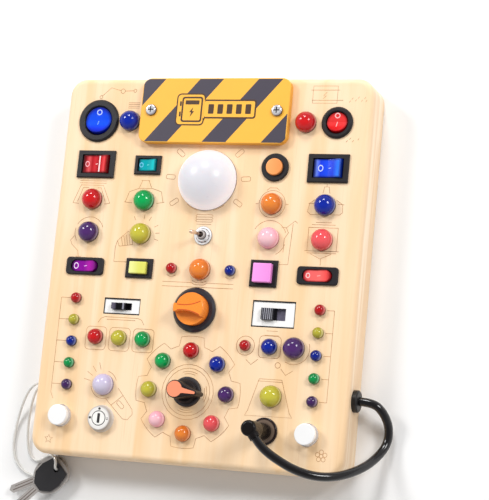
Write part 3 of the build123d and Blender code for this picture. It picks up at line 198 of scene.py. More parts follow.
def moulded(name, colour, roughness=0.3, mottle=0.06, grain=1500.0, depth=0.02, coat=0.0, metallic=0.0,
            ior=1.45, glow=0.0, **more):
    """A moulded or cast material with the skin above. Colour is a colour or a function of the tree."""
    material, tree, shader = new_material(name)
    given = {"Colour": colour(tree) if callable(colour) else colour, "Mottle": mottle, "Roughness": roughness,
             "Grain": grain, "Depth": depth}
    skin = add_node(tree, "ShaderNodeGroup", given, node_tree=moulded_skin).outputs
    feed(tree, shader, {
        "Base Color": skin["Colour"], "Roughness": skin["Roughness"], "Normal": skin["Normal"],
        "Coat Weight": coat, "Coat Roughness": 0.08, "Metallic": metallic, "IOR": ior})
    feed(tree, shader, {key.replace("_", " "): value for key, value in more.items()})
    if glow:
        feed(tree, shader, {"Emission Color": skin["Colour"], "Emission Strength": glow})
    return material


def dress(material, *names):
    """Give the named solids of the board their material."""
    for name in names:
        piece = nodes[name]
        if not piece.material_slots:
            piece.data.materials.append(material)
        for material_slot in piece.material_slots:
            material_slot.material = material


cable_sheath = cord_line("cable_sheath", cable_route, cable_diameter)
cable_black = moulded("cable_black", rgb(14, 11, 14), 0.16, mottle=0.2, grain=500, depth=0.05, coat=0.3)
cable_sheath.data.materials.append(cable_black)
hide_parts("patch_cable")
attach(cable_sheath, "board")

# ---- Key string and keys ----
# A loop of thin clear cord, both ends knotted inside the case's left wall. It hangs down to the
# table and carries two car-style keys: black moulded heads on nickel-plated steel blades.
string_diameter = 2
string_route = [(-116.5, -90.5, 14), (-129.5, -90.5, 14), (-138.5, -96.6, 11), (-145.4, -107.6, 6.4),
                (-150.2, -121, 2.4), (-152.4, -135.2, 1.4), (-151, -148.6, 1.3), (-143.2, -158.6, 1.3),
                (-131.4, -163.2, 1.3), (-119.6, -162.8, 1.3), (-113.2, -159.9, 1.3), (-108.5, -156.2, 1.5),
                (-108.5, -156.2, 13.2), (-108, -149.2, 13.4), (-112.4, -145.6, 11.6), (-119.2, -145.8, 4.4),
                (-129.6, -151.8, 1.3), (-137.2, -147.6, 1.3), (-140, -136, 2.2), (-139.2, -121.6, 5.6),
                (-136, -107.2, 9.8), (-131.4, -96, 13), (-126.4, -93.5, 14), (-116.5, -93.5, 14)]
clear_string = cord_line("clear_string", string_route, string_diameter)


def frosted_clear(tree):
    """The string's colour: whitish, with paler and greyer stretches along it."""
    return blended(tree, noise(tree, 60), rgb(232, 231, 228), rgb(255, 255, 252))


string_clear = moulded("string_clear", frosted_clear, 0.2, grain=3000, coat=0.4, Transmission_Weight=0.2)
clear_string.data.materials.append(string_clear)
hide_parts("key_string")
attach(clear_string, "board")
dress(string_clear, "string_knot")
dress(moulded("key_black", rgb(38, 37, 40), 0.34, grain=1800, depth=0.06, coat=0.25), "key_heads")


def brushed(name, colour, roughness, metallic=1.0):
    """Metal with fine drawn lines along X."""
    material, tree, shader = new_material(name)
    streaks = noise(tree, 900, 3, (0.04, 1, 1))
    dim = tuple(0.82 * part for part in colour[:3]) + (1,)
    feed(tree, shader, {"Base Color": blended(tree, streaks, dim, colour), "Metallic": metallic,
                        "Roughness": calc(tree, "MULTIPLY_ADD", streaks, 0.16, roughness - 0.08),
                        "Normal": bumped(tree, 0.15, 0.0001, streaks)})
    return material


key_steel = brushed("key_nickel", rgb(206, 200, 196), 0.3, 0.55)
dress(key_steel, "key_blades")

# ---- Wooden case ----
# Solid pine, milled from one block, its edges rounded over and sanded, under a satin varnish.
# The fibres run from the bottom edge to the top edge.
edge_heights, end_lengths = (0.0275, 0.0319), (0.1405, 0.1445)


def pine_colour(tree, fibres):
    """Pale pine: broad soft growth bands and thin fibres along Y, stronger and darker on the sides."""
    _, y, height = axes(tree)
    side = calc(tree, "SUBTRACT", 1, ramp(tree, height, *edge_heights))
    end_grain_and_shade = ramp(tree, calc(tree, "ABSOLUTE", y), *end_lengths)
    bands = noise(tree, 70, 3, (1, 0.07, 2.2), 0.6)
    face = blended(tree, ramp(tree, bands, 0.32, 0.72), rgb(253, 224, 188), rgb(246, 208, 160))
    plain_end = calc(tree, "MULTIPLY_ADD", end_grain_and_shade, -0.65, 1)
    edge_bands = times(tree, ramp(tree, bands, 0.36, 0.64), plain_end)
    edge = blended(tree, edge_bands, rgb(253, 232, 205), rgb(240, 208, 170))
    # The sawn ends are warmer and darker: partly end grain, partly painted shade.
    edge = blended(tree, times(tree, end_grain_and_shade, 0.7), edge, rgb(240, 206, 164))
    wood = blended(tree, side, face, edge)
    thin, broad = ramp(tree, fibres, 0.55, 0.78), ramp(tree, noise(tree, 9), 0.5, 0.8)
    wood = blended(tree, times(tree, thin, 0.30), wood, rgb(232, 188, 140))
    return blended(tree, times(tree, broad, 0.25), wood, rgb(248, 206, 160))


pine, pine_tree, pine_shader = new_material("varnished_pine")
pine_fibres = noise(pine_tree, 850, 4, (1, 0.025, 1))
feed(pine_tree, pine_shader, {"Base Color": pine_colour(pine_tree, pine_fibres), "Specular IOR Level": 0.35,
                              "Roughness": calc(pine_tree, "MULTIPLY_ADD", pine_fibres, 0.2, 0.38),
                              "Normal": bumped(pine_tree, 0.25, 0.0002, pine_fibres)})
dress(pine, "wooden_case")

# ---- Burnt lines in the face ----
# Thin line drawings burnt into the pine by a laser round the lamps and switches: lamps, shades,
# wires, a gear and a few doodles. Each line is a shallow brown groove about 0.4 mm wide.
line_radius, line_z = 0.24, 31.9
burnt_lines = bpy.data.curves.new("burnt_lines", "CURVE")
burnt_lines.dimensions = "3D"
burnt_lines.bevel_depth = line_radius / 1000
burnt_lines.bevel_resolution = 1


def middle(name):
    """The middle of a solid on the face, in millimetres."""
    low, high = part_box(name)
    return (low[0] + high[0]) * 500, (low[1] + high[1]) * 500


def burn(*points, closed=False):
    """A line through points in millimetres."""
    spline = burnt_lines.splines.new("POLY")
    spline.points.add(len(points) - 1)
    for point, (x, y) in zip(spline.points, points):
        point.co = (x / 1000, y / 1000, line_z / 1000, 1)
    spline.use_cyclic_u = closed


def polar(x, y, radius, turn):
    """The point at a distance and an angle, in degrees from +X towards +Y, from another."""
    return x + radius * math.cos(math.radians(turn)), y + radius * math.sin(math.radians(turn))


def arc_points(x, y, radius, start=0, end=360, steps=24):
    """Points on an arc."""
    return [polar(x, y, radius, start + (end - start) * n / steps) for n in range(steps + 1)]


def burn_arc(x, y, radius, start=0, end=360):
    """An arc, or a full circle."""
    whole = end - start >= 360
    burn(*arc_points(x, y, radius, start, end)[:-1 if whole else None], closed=whole)


def rounded_box(x, y, width, height, corner, turn=0):
    """Points round a box with rounded corners, turned about its middle."""
    points, across, up = [], width / 2 - corner, height / 2 - corner
    for n, (i, j) in enumerate(((1, 1), (-1, 1), (-1, -1), (1, -1))):
        points += arc_points(i * across, j * up, corner, 90 * n, 90 * n + 90, 4)
    cos, sin = math.cos(math.radians(turn)), math.sin(math.radians(turn))
    return [(x + px * cos - py * sin, y + px * sin + py * cos) for px, py in points]


def burn_box(*sizes):
    """A rounded box: middle, width, height, corner radius, turn."""
    burn(*rounded_box(*sizes), closed=True)


def burn_levels(start, end, *heights):
    """A line from left to right at each height."""
    for y in heights:
        burn((start, y), (end, y))


def burn_rays(x, y, near, far, *turns):
    """Short lines that point away from a spot."""
    for turn in turns:
        burn(polar(x, y, near, turn), polar(x, y, far, turn))


def polygon(count, radius, x=0, y=0, inner=None):
    """A regular polygon, or a star when it is given an inner radius."""
    reaches = [radius, inner] * count if inner else [radius] * count
    return [polar(x, y, reach, 90 + 360 * n / len(reaches)) for n, reach in enumerate(reaches)]


# Above the blue switches: a run of wire with two joints, and four short lines.
burn((-94, 131), (-87, 137.5), (-78.8, 135.2))
burn_arc(-77, 134.8, 1.8)
burn((-75.2, 134.9), (-68, 135.1))
burn_arc(-66.8, 135.1, 1.2)
burn_arc(-94.9, 130.1, 1.2)
burn_levels(-71, -61.7, 125.6, 124.3, 122.9, 121.5)
# A desk shade round the red cap, and a hanging lamp round the green one.
burn_levels(-104.8, -82.5, 63.9, 62.2)
burn((-109, 46.5), (-103.6, 60.5), (-84.8, 60.5), (-78, 46.7))
burn((-109, 46.5), (-103.8, 46))
burn((-82.6, 46), (-78, 46.7))
burn((-105.2, 47.4), (-101.5, 58.6), (-96.5, 58.6))
burn((-89.4, 58.6), (-86.4, 58.6), (-82, 48))
burn_levels(-53.6, -46.6, 65)
burn((-47.4, 65), (-44.7, 59.5))
burn((-52.5, 65), (-55, 58.9))
burn((-65.1, 48.2), (-62.7, 56), (-55, 58.9), (-43.6, 58.9), (-36.3, 56.6), (-34.2, 48.6))
burn((-66, 48.2), (-59.5, 47.6))
burn((-39.4, 47.6), (-33, 48.6))
# Rays round the big lamp, and its screw base down to the toggle.
lamp_x, lamp_y = middle("lamp_dome")
for turn, away in ((3, 30.2), (176, 30.2), (42, 31.5), (139, 31.5), (-33, 30.5), (-146, 30.5)):
    burn_box(*polar(lamp_x, lamp_y, away, turn), 7.2, 3.4, 1.2, turn)
burn_arc(lamp_x, lamp_y, 23.6, -128, -106)
burn_arc(lamp_x, lamp_y, 23.6, -74, -52)
burn_levels(-5.4, 6.4, 40.2, 38.3, 36.4, 34.6, 32.8)
thread = ((0, 40.2), (1, 39.2), (0, 38.3), (1, 37.3), (0, 36.4), (0.8, 35.5), (0, 34.6))
for x, side in ((-5.4, -1), (6.4, 1)):
    burn(*[(x + side * out, y) for out, y in thread])
# A small fan round the purple cap, with its wire.
burn_arc(-92.6, 24, 11.8, 20, 150)
burn_arc(-92.6, 24, 11.8, 165, 215)
burn((-104.4, 20.8), (-107.4, 17.4), (-106, 14.3), (-100.3, 9.2), (-99.4, 5))
burn_levels(-97.2, -101.4, 5)
# A bulb round the yellow cap with rays, its screw base and a wire down to the green button.
burn_rays(-49.3, 24, 11.6, 15, 62, 84, 28, 4, -18, 118)
for n in range(5):
    burn((-57.2 - n * 2, 24.4 - n * 0.8), (-55.4 - n * 2, 15.6 - n * 0.3))
burn((-57.2, 24.4), (-60.2, 25.6), (-68.1, 18.2), (-66.2, 14), (-55.4, 15.6))
burn((-68.1, 18.2), (-69.3, 13.4), (-69.3, 2.2), (-58.6, 2.2))
# Upper right corner: a switch box with a flash, and two scatters of short strokes.
burn((76.5, 125.8), (76.5, 138.8), (95.3, 138.8), (95.3, 125.8), closed=True)
burn_levels(74.9, 96.9, 135.7)
burn_levels(75.9, 99.9, 128)
burn((87.2, 134.2), (84.6, 131.4), (86.9, 131.4), (84.4, 129.2))
for x, y in ((104.6, 126.4), (106.4, 128.6), (109, 127.2), (111, 129.3), (113.6, 127), (115.8, 129),
             (117, 126.8), (104.8, 96.6), (107.2, 98.6), (109.4, 96.8), (113.4, 98.2)):
    burn((x, y), (x + 1, y + 1.4))
# A clock round the orange cap and a hanging lamp round the blue one.
burn_arc(52.6, 49.5, 10.2)
burn((47.6, 59.6), (49.8, 61.6), (55.4, 61.6), (57.6, 59.6))
burn_levels(39.8, 41.8, 49.5)
burn_levels(63.4, 65.4, 49.5)
burn((93.4, 65.3), (93.4, 63.2))
burn((90.8, 58.4), (91.6, 63.2), (95.2, 63.2), (96, 58.4))
burn((82.7, 42.5), (80.2, 44.6), (81.3, 50.8), (85.2, 53.6))
burn((101.6, 53.6), (106.4, 50.3), (106.8, 44.6), (104.8, 42.8), (82.7, 42.5))
burn_levels(80.6, 84.6, 50.8)
burn((102.8, 50.6), (107.6, 50.3))
# A watering can round the pink cap with a wire, and a lantern round the coral one.
burn_arc(52.6, 24, 13.2, 20, 150)
burn_arc(52.6, 24, 13.2, -62, -18)
burn((61.8, 32.6), (65.3, 32.2), (71.6, 37.4), (73.6, 35.8))
burn((65.3, 32.2), (67.2, 28.6), (64.4, 24), (64.4, 14))
burn((70.2, 35.2), (68.9, 5.2), (61.8, 4.9))
burn_levels(82.4, 104.6, 33.1)
burn_levels(84.6, 102.4, 35.2)
burn_levels(87.4, 99.4, 36.9)
burn((82.4, 33.1), (82.4, 15.9), (104.6, 15.9), (104.6, 33.1))
burn_levels(80.6, 106.4, 15.9)
burn_levels(82.4, 104.6, 14.4)
burn((85.2, 13.8), (92.8, 10.2), (100.9, 13.8))
burn((93.4, 10.2), (93.4, 5.6))
# A long shelf under the three middle caps.
burn((-28, -11.2), (-4.8, -11.2), (-2.2, -12.6), (5.2, -12.6), (7.8, -11.2), (28.5, -11.2))
burn_levels(-28, 28.5, -14.5)
for x, radius in ((-21.4, 6), (1.5, 10), (25.2, 6)):
    burn_arc(x, -1.2, radius, -125, -55)
# Wires from the small caps at both sides.
side_rows = [-26.9 - 16.39 * n for n in range(5)]
burn_levels(-109.5, -101.8, *side_rows)
burn_levels(101.8, 107.2, *side_rows)
burn((-109.5, side_rows[0]), (-109.5, -99), (-107.2, -103.7))
burn((107.2, side_rows[0]), (107.2, side_rows[-1]))
# A bracket over three framed caps.
burn((-76.8, -44.6), (-74.6, -41.2), (-71.4, -40), (-44.6, -40), (-41.4, -41.2), (-39.1, -44.8))
burn_levels(-69.8, -46.4, -41.8)
for x in (-77.2, -57.9, -38.6):
    burn_box(x, -56.4, 16.8, 17.4, 3)
# A gear round the ring of eight lamps, with two inner circles and short hatches.
ring_x, ring_y = middle("gear_selector_base")
gear_line = []
for tooth in range(8):
    turn = 90 - tooth * 45
    gear_line += arc_points(ring_x, ring_y, 41, turn + 12.5, turn - 12.5, 6)
    gear_line += arc_points(ring_x, ring_y, 34.6, turn - 17, turn - 28, 3)
burn(*gear_line, closed=True)
burn_arc(ring_x, ring_y, 20.2)
burn_arc(ring_x, ring_y, 17.4)
for start in (65, 155, 245, 335):
    burn_arc(ring_x, ring_y, 15, start, start + 45)
    burn_arc(ring_x, ring_y, 13.4, start + 4, start + 41)
# A torch round the white cap.
torch_x, torch_y = middle("white_cap")
burn_rays(torch_x, torch_y, 11.5, 17, 108, 128, 148, 168)
burn_arc(torch_x, torch_y, 10.4, 190, 300)
burn_arc(torch_x, torch_y, 10.4, 20, 75)
burn((-63.5, -101.4), (-48.6, -115), (-44.6, -115.4), (-41, -111.2), (-41.6, -107.6), (-54.5, -92.6))
burn((-58.9, -105.6), (-49.8, -97.8))
burn_box(-51.4, -104.8, 7, 3, 1.4, -42)
# A table lamp round the large yellow cap.
burn_levels(55.3, 72.5, -78.6)
burn_levels(54.6, 73.2, -80.2)
burn((55.3, -78.6), (48.5, -102), (46.7, -105.4), (82.4, -105), (80.2, -102), (72.5, -78.6))
# A robot's head round the right cluster.
burn_levels(57.4, 66, -43.8)
burn_levels(56.4, 67, -47)
burn_arc(42.3, -55.4, 7)
burn_box(61, -55.4, 16.6, 16, 3)
burn_arc(79.6, -55.4, 11.6, -120, 20)
burn_arc(68.3, -68.2, 2)
burn((43.7, -65.4), (47.8, -68.8), (52.8, -64.7))
burn((70.8, -70.6), (74.8, -75), (80, -71.6))
# Corner doodles: a star and a flower.
burn(*polygon(5, 3.4, -107, -134, 1.5), closed=True)
burn_arc(106.5, -130, 1.3)
for x, y in polygon(5, 2.9, 106.5, -130):
    burn_arc(x, y, 1.5)


def as_mesh(curve, name, body, place=Matrix()):
    """Turn a curve into a mesh piece that rides on a body, its place in its mesh."""
    drawn = add_object(name + "_line", curve)
    bpy.context.view_layer.update()
    mesh = bpy.data.meshes.new_from_object(drawn)
    bpy.data.objects.remove(drawn)
    mesh.transform(place)
    piece = add_object(name, mesh)
    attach(piece, body)
    return piece


burn_brown, burn_tree, burn_shader = new_material("burnt_line")
scorch = ramp(burn_tree, noise(burn_tree, 55, 3), 0.35, 0.65)
feed(burn_tree, burn_shader, {"Base Color": blended(burn_tree, scorch, rgb(166, 112, 66), rgb(206, 156, 106)),
                              "Roughness": 0.7})
engraving = as_mesh(burnt_lines, "burnt_drawing", "board")
engraving.data.materials.append(burn_brown)

# ---- Back panel ----
# A thin printed fibreboard, let into the back and held by six screws in the case's lugs. Its
# print is a plain chart of coloured shapes in rows, on a cream ground.
panel_print, panel_tree, panel_shader = new_material("printed_panel")
paper = noise(panel_tree, 700, 3)
cream = blended(panel_tree, paper, rgb(228, 219, 196), rgb(243, 236, 217))
paper_gloss = calc(panel_tree, "MULTIPLY_ADD", paper, 0.1, 0.5)
feed(panel_tree, panel_shader, {"Base Color": cream, "Roughness": paper_gloss})
dress(panel_print, "back_panel")
dress(brushed("zinc_screw", rgb(196, 197, 202), 0.32), "back_screws")


def flat_shape(name, outlines, thickness, material, body, place):
    """A thin flat piece from closed outlines in millimetres; an outline inside another is a hole."""
    curve = bpy.data.curves.new(name, "CURVE")
    curve.dimensions = "2D"
    curve.fill_mode = "BOTH"
    curve.extrude = thickness / 2000
    for outline in outlines:
        spline = curve.splines.new("POLY")
        spline.points.add(len(outline) - 1)
        for point, (x, y) in zip(spline.points, outline):
            point.co = (x / 1000, y / 1000, 0, 1)
        spline.use_cyclic_u = True
    piece = as_mesh(curve, name, body, place)
    piece.data.materials.append(material)
    return piece


def placed(x, y, z, turn=0):
    """A move, in millimetres, after a turn about Z, in degrees."""
    return Matrix.Translation((x / 1000, y / 1000, z / 1000)) @ Matrix.Rotation(math.radians(turn), 4, "Z")


print_rows, print_columns, row_pitch, column_pitch = 7, 5, 34, 38
print_left, print_top, print_thickness = -76, 102, 0.08
print_inks = {"red": (214, 62, 58), "yellow": (240, 190, 62), "green": (72, 158, 96),
              "blue": (62, 118, 190), "plum": (128, 78, 150), "orange": (236, 132, 58)}
print_shapes = [[polygon(28, 9.5)], [polygon(3, 11, 0, -1.5)], [rounded_box(0, 0, 17, 17, 2.5)],
                [polygon(5, 11, inner=4.8)], [polygon(6, 10)], [polygon(28, 9.5), polygon(28, 5)]]
for number, (tint, colour) in enumerate(print_inks.items()):
    outlines = []
    for row in range(print_rows):
        for column in range(print_columns):
            if (row * 2 + column) % 6 == number:
                left, top = print_left + column * column_pitch, print_top - row * row_pitch
                outlines += [[(left + x, top + y) for x, y in outline]
                             for outline in print_shapes[(row + column * 2) % 6]]
    ink = moulded("ink_" + tint, rgb(*colour), 0.45, mottle=0.08, grain=1200, depth=0.01)
    printed = flat_shape(f"ink_{tint}_print", outlines, print_thickness, ink, "board", Matrix())

# ---- Trim of the keys ----
# A bright steel frame, part of the blade, shows all round each key's black head, and two shallow
# grooves are milled down each blade, drawn as thin dark strips whose darkness is painted shade.
key_spot, key_outline = (-108.5, -156.2), [(-4.6, 8.4), (6, 11), (14, 10.1), (20.4, 3.9)]
key_outline += [(x, -y) for x, y in reversed(key_outline)]
# Painted shade: the dark of the grooves.
groove_shade_grey = moulded("groove_shade_grey", rgb(112, 100, 94), 0.5, mottle=0.1, grain=1800)
rim_middle, rim_thickness, rim_rise, groove_thickness, groove_rise = 8, 2.2, 0.9, 0.06, 2.32


def softened(points):
    """A closed outline with its corners cut three times over."""
    for _ in range(3):
        pairs = zip(points, points[1:] + points[:1])
        points = [(x + (next_x - x) * share, y + (next_y - y) * share)
                  for (x, y), (next_x, next_y) in pairs for share in (0.25, 0.75)]
    return points


for name, turn, bed in (("lower", 205, 3), ("upper", 224, 7)):
    lie = placed(*key_spot, 0, turn)
    rim = [softened([(rim_middle + (x - rim_middle) * grow, y * grow) for x, y in key_outline])
           for grow in (1.18, 0.9)]
    grooves = [rounded_box(32, 0.9, 19, 0.8, 0.3), rounded_box(31, -1.2, 16, 0.6, 0.25)]
    for part, outlines, thickness, rise, material in (
            ("_key_rim", rim, rim_thickness, rim_rise, key_steel),
            ("_key_groove", grooves, groove_thickness, groove_rise, groove_shade_grey)):
        place = placed(0, 0, bed + rise) @ lie
        flat_shape(name + part, outlines, thickness, material, "board", place)

# ---- Hazard lid ----
# A thick lid of moulded board, lacquered with yellow and dark diagonal stripes, over the
# battery opening. Two pan-head screws go through it into the case.
lid_low, lid_high = (Vector(corner) * 1000 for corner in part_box("hazard_lid"))
stripe_start, stripe_pitch, stripe_share, stripe_lean = 4.6, 46.9, 0.407, 0.846
lid_top, lid_border, lid_skin, lid_shoulder = lid_high.z, 0.7, 0.35, 0.6


def lid_stripes(tree):
    """Diagonal stripes on the lid's top, on yellow, with painted shade: a deeper yellow side."""
    x, y, z = axes(tree)
    across = calc(tree, "SUBTRACT", x, (lid_low.x + stripe_start) / 1000)
    slant = calc(tree, "MULTIPLY_ADD", calc(tree, "SUBTRACT", y, lid_low.y / 1000), -stripe_lean, across)
    phase = calc(tree, "FLOORED_MODULO", calc(tree, "DIVIDE", slant, stripe_pitch / 1000), 1)
    dark = times(tree, calc(tree, "LESS_THAN", phase, stripe_share),
                 calc(tree, "GREATER_THAN", z, (lid_top - lid_skin) / 1000))
    for value, low, high in ((x, lid_low.x, lid_high.x), (y, lid_low.y, lid_high.y)):
        dark = times(tree, dark, calc(tree, "GREATER_THAN", value, (low + lid_border) / 1000),
                     calc(tree, "LESS_THAN", value, (high - lid_border) / 1000))
    # Painted shade: the side below the shoulder is a deeper yellow than the top.
    on_top = calc(tree, "GREATER_THAN", z, (lid_top - lid_shoulder) / 1000)
    return blended(tree, dark, blended(tree, on_top, rgb(238, 170, 52), rgb(253, 187, 63)), rgb(66, 60, 74))


dress(moulded("hazard_lacquer", lid_stripes, 0.42, mottle=0.03, grain=2600, coat=0.15), "hazard_lid")
screw_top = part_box("lid_screws")[1][2] * 1000


def tones(tree, run, stops):
    """A colour that changes along a distance: stops are (millimetres, colour)."""
    first, last = stops[0][0], stops[-1][0]
    share = ramp(tree, run, first / 1000, last / 1000, smooth=False)
    band = add_node(tree, "ShaderNodeValToRGB", {"Fac": share})
    elements = band.color_ramp.elements
    elements.remove(elements[1])
    elements[0].position, elements[0].color = 0, rgb(*stops[0][1])
    for place, colour in stops[1:]:
        elements.new((place - first) / (last - first)).color = rgb(*colour)
    return band.outputs["Color"]


def by_height(*stops):
    """A colour function that goes through its stops with the height."""
    return lambda tree: tones(tree, axes(tree)[2], stops)


# Bright plating, with painted shade down in the cross recess and round the head's foot.
screw_shade = by_height((screw_top - 1.6, (74, 66, 78)), (screw_top - 0.9, (120, 112, 124)),
                        (screw_top - 0.35, (206, 202, 212)), (screw_top, (248, 248, 252)))
dress(moulded("bright_screw", screw_shade, 0.14, mottle=0.2, grain=900, metallic=0.6), "lid_screws")

# In the middle of the lid: a printed battery with a flash and a plain plate beside it.
badge_dark = moulded("badge_dark", rgb(72, 48, 30), 0.4, mottle=0.08, grain=2600)
badge_yellow = moulded("badge_yellow", rgb(253, 187, 63), 0.4, mottle=0.03, grain=2600)
badge_place = placed(*middle("hazard_lid"), lid_top) @ placed(-18, 0.6, 0)
badge_layers = [
    ("lid_badge_edge", badge_dark, 0.16, [(-0.6, 0, 23.2, 24.8, 3.4), (30.6, 0.4, 42.4, 14.6, 2.2)]),
    ("lid_badge_ground", badge_yellow, 0.24, [(-0.6, 0, 21.2, 22.8, 2.6), (30.6, 0.4, 40, 12.2, 1.4)]),
    ("lid_badge_battery", badge_dark, 0.32, [
        (0.6, 0, 16.8, 19.6, 2), (0.6, 0, 14.2, 17, 1.2), (0.6, 5.4, 11.2, 3.2, 0.4),
        (-8.8, 4.4, 1.4, 3.8, 0.5), (-8.8, -3.6, 1.4, 3.8, 0.5),
        *[(16 + 7.4 * n, 0.4, 4.4, 7.4, 0.6) for n in range(5)]])]
flash = [(1.6, 1.8), (-1.4, -2.2), (0.2, -2.2), (-0.6, -5.8), (2.6, -1.4), (0.9, -1.4)]
for name, material, height, boxes in badge_layers:
    outlines = [rounded_box(*box) for box in boxes] + ([flash] if name == "lid_badge_battery" else [])
    flat_shape(name, outlines, height, material, "board", badge_place)

# ---- Indicator caps ----
# Domes of clear tinted acrylic on a short rim, pressed into the face over the LEDs. They are
# glossy, with painted shade that deepens them at the rim and on the upper side, a painted glow
# that brightens them low down, and a faint painted glow all over.
rim_heights, crescent_highlight_low, crescent_highlight_high = (0.0325, 0.0405), (0.0336, 0.0343), (0.0362, 0.0350)


def tinted_dome(name, crown, rim, glow):
    """Tinted acrylic, painted deeper at the rim and upper side as shade, with a pale crescent of painted
    highlight inside the rim on the right.
    """
    def shade(tree):
        height = axes(tree)[2]
        faces_right, faces_up, _ = axes(tree, "Normal")
        # Painted shade on the side that faces up the board; the side that faces down keeps the bright crown
        # colour as a painted glow.
        deep = tuple((2 * near + far) / 3 for near, far in zip(crown, rim))
        dome = blended(tree, ramp(tree, faces_up, -0.3, 0.5), rgb(*crown), rgb(*deep))
        # Painted shade: darker still down at the rim.
        edge = tones(tree, height, [(32, tuple(0.6 * part for part in rim)), (34, rim)])
        body = blended(tree, ramp(tree, height, *rim_heights), edge, dome)
        # Painted highlight: the pale crescent.
        crescent = times(tree, ramp(tree, height, *crescent_highlight_low), ramp(tree, height, *crescent_highlight_high),
                         ramp(tree, faces_right, 0.3, 0.8), 0.55)
        return blended(tree, crescent, body, rgb(*((part + 255) / 2 for part in crown)))
    return moulded(name, shade, 0.12, mottle=0.04, grain=400, depth=0, coat=0.5, ior=1.3, glow=glow)


cap_tints = {"red": ((216, 26, 30), (120, 2, 12)), "green": ((2, 176, 88), (0, 84, 40)),
             "blue": ((6, 40, 166), (0, 10, 74)), "purple": ((82, 44, 112), (30, 8, 50)),
             "yellow": ((206, 198, 68), (136, 126, 28)), "orange": ((240, 138, 54), (176, 76, 14)),
             "pink": ((255, 204, 212), (222, 132, 158)), "coral": ((244, 94, 98), (180, 36, 48))}
for tint, (crown, rim) in cap_tints.items():
    # Each cap also carries a faint painted glow.
    dress(tinted_dome("acrylic_" + tint, crown, rim, 0.04), tint + "_caps")
dress(tinted_dome("acrylic_white", (212, 204, 226), (166, 154, 194), 0.05), "white_cap")
dress(moulded("led_lens", rgb(232, 232, 224), 0.12, coat=0.5), "indicator_leds")

# ---- Big round lamp ----
# A half ball of milky plastic, blown thin, glued in from behind. Satin, with a cold white tint, a
# little greyer at the top, a dark seam of painted shade where it meets the wood, and a painted glow.
milky_shade = by_height((32, (92, 78, 72)), (32.5, (120, 108, 104)), (33.1, (194, 189, 192)),
                        (38, (194, 189, 192)), (50, (174, 173, 178)))
dress(moulded("milky_plastic", milky_shade, 0.3, mottle=0.02, grain=300, depth=0, glow=0.86,
              Subsurface_Weight=0.2, Subsurface_Scale=0.004), "lamp_dome")

# ---- Switch bezels ----
# Black nylon frames with a fine spark-eroded grain, snapped into their holes.
nylon = moulded("black_nylon", rgb(29, 26, 30), 0.42, mottle=0.16, grain=1600, depth=0.1, ior=1.4)
dress(nylon, "wide_rocker_housings", "small_rocker_housing", "oval_rocker_housings", "round_rocker_housings",
      "round_button_housing", "lime_button_housing", "pink_button_housing", "battery_box")

# ---- Rockers ----
# Glossy tinted polycarbonate rockers on stub pins. The pressed half carries a printed ring and
# the raised half a printed bar.
rocker_tilt, valley_z, valley_shift = 16, 33.077, 0.334
ring_stroke, bar_stroke, bar_lean, mark_thickness, mark_lift = 0.75, 0.65, 8, 0.1, 0.02


def reach(tree, x, y):
    """The distance from zero."""
    return calc(tree, "SQRT", calc(tree, "ADD", times(tree, x, x), times(tree, y, y)))


def from_middle(tree, name):
    """How far a point lies from a solid's middle, to the right and up the board."""
    x, y, _ = axes(tree)
    middle_x, middle_y = middle(name)
    return calc(tree, "SUBTRACT", x, middle_x / 1000), calc(tree, "SUBTRACT", y, middle_y / 1000)


def tinted_rocker(name, turn, length, width, round_ends, stops, dark):
    """Tinted polycarbonate with bands of painted reflection and shade along the rocker, painted shade towards
    its border, and a faint painted glow.
    """
    def shade(tree):
        x, y = from_middle(tree, name)
        run, side = (times(tree, y, -1), x) if turn else (x, y)
        half_run, half_side = calc(tree, "ABSOLUTE", run), calc(tree, "ABSOLUTE", side)
        if round_ends:
            past = calc(tree, "MAXIMUM", calc(tree, "SUBTRACT", half_run, (length - width) / 2000), 0)
            border = times(tree, reach(tree, past, side), 2000 / width)
        else:
            border = calc(tree, "MAXIMUM", times(tree, half_run, 2000 / length),
                          times(tree, half_side, 2000 / width))
        # Painted shade: deeper colour towards the border.
        deep = times(tree, ramp(tree, border, 0.7, 1), 0.8)
        return blended(tree, deep, tones(tree, run, stops), rgb(*dark))
    dress(moulded(name + "_tint", shade, 0.16, mottle=0.16, grain=500, depth=0.01, ior=1.4, glow=0.04), name)


def rocker_half(name, turn, along, raised):
    """The place of a mark on a rocker, so many millimetres from its valley."""
    valley = placed(*middle(name), 0, turn) @ placed(-valley_shift, 0, valley_z)
    if raised:
        valley = valley @ Matrix.Rotation(math.radians(-rocker_tilt), 4, "Y")
    return valley @ placed(along if raised else -along, 0, mark_lift)


def mark_rocker(name, turn, ring, squash, ring_along, bar_along, bar_length, ring_tint, bar_tint):
    """A pale ring on the pressed half and a bar on the raised half."""
    loop = [[(x * squash, y) for x, y in polygon(24, radius)] for radius in (ring, ring - ring_stroke)]
    bar = rounded_box(0, 0, bar_length, bar_stroke, 0.3, -bar_lean if turn else bar_lean)
    for part, outlines, tint, along, raised in (("_ring", loop, ring_tint, ring_along, False),
                                                ("_bar", [bar], bar_tint, bar_along, True)):
        paint = moulded(name + part + "_paint", rgb(*tint), 0.35, mottle=0.02, grain=3000)
        place = rocker_half(name, turn, along, raised)
        flat_shape(name + part, outlines, mark_thickness, paint, name, place)
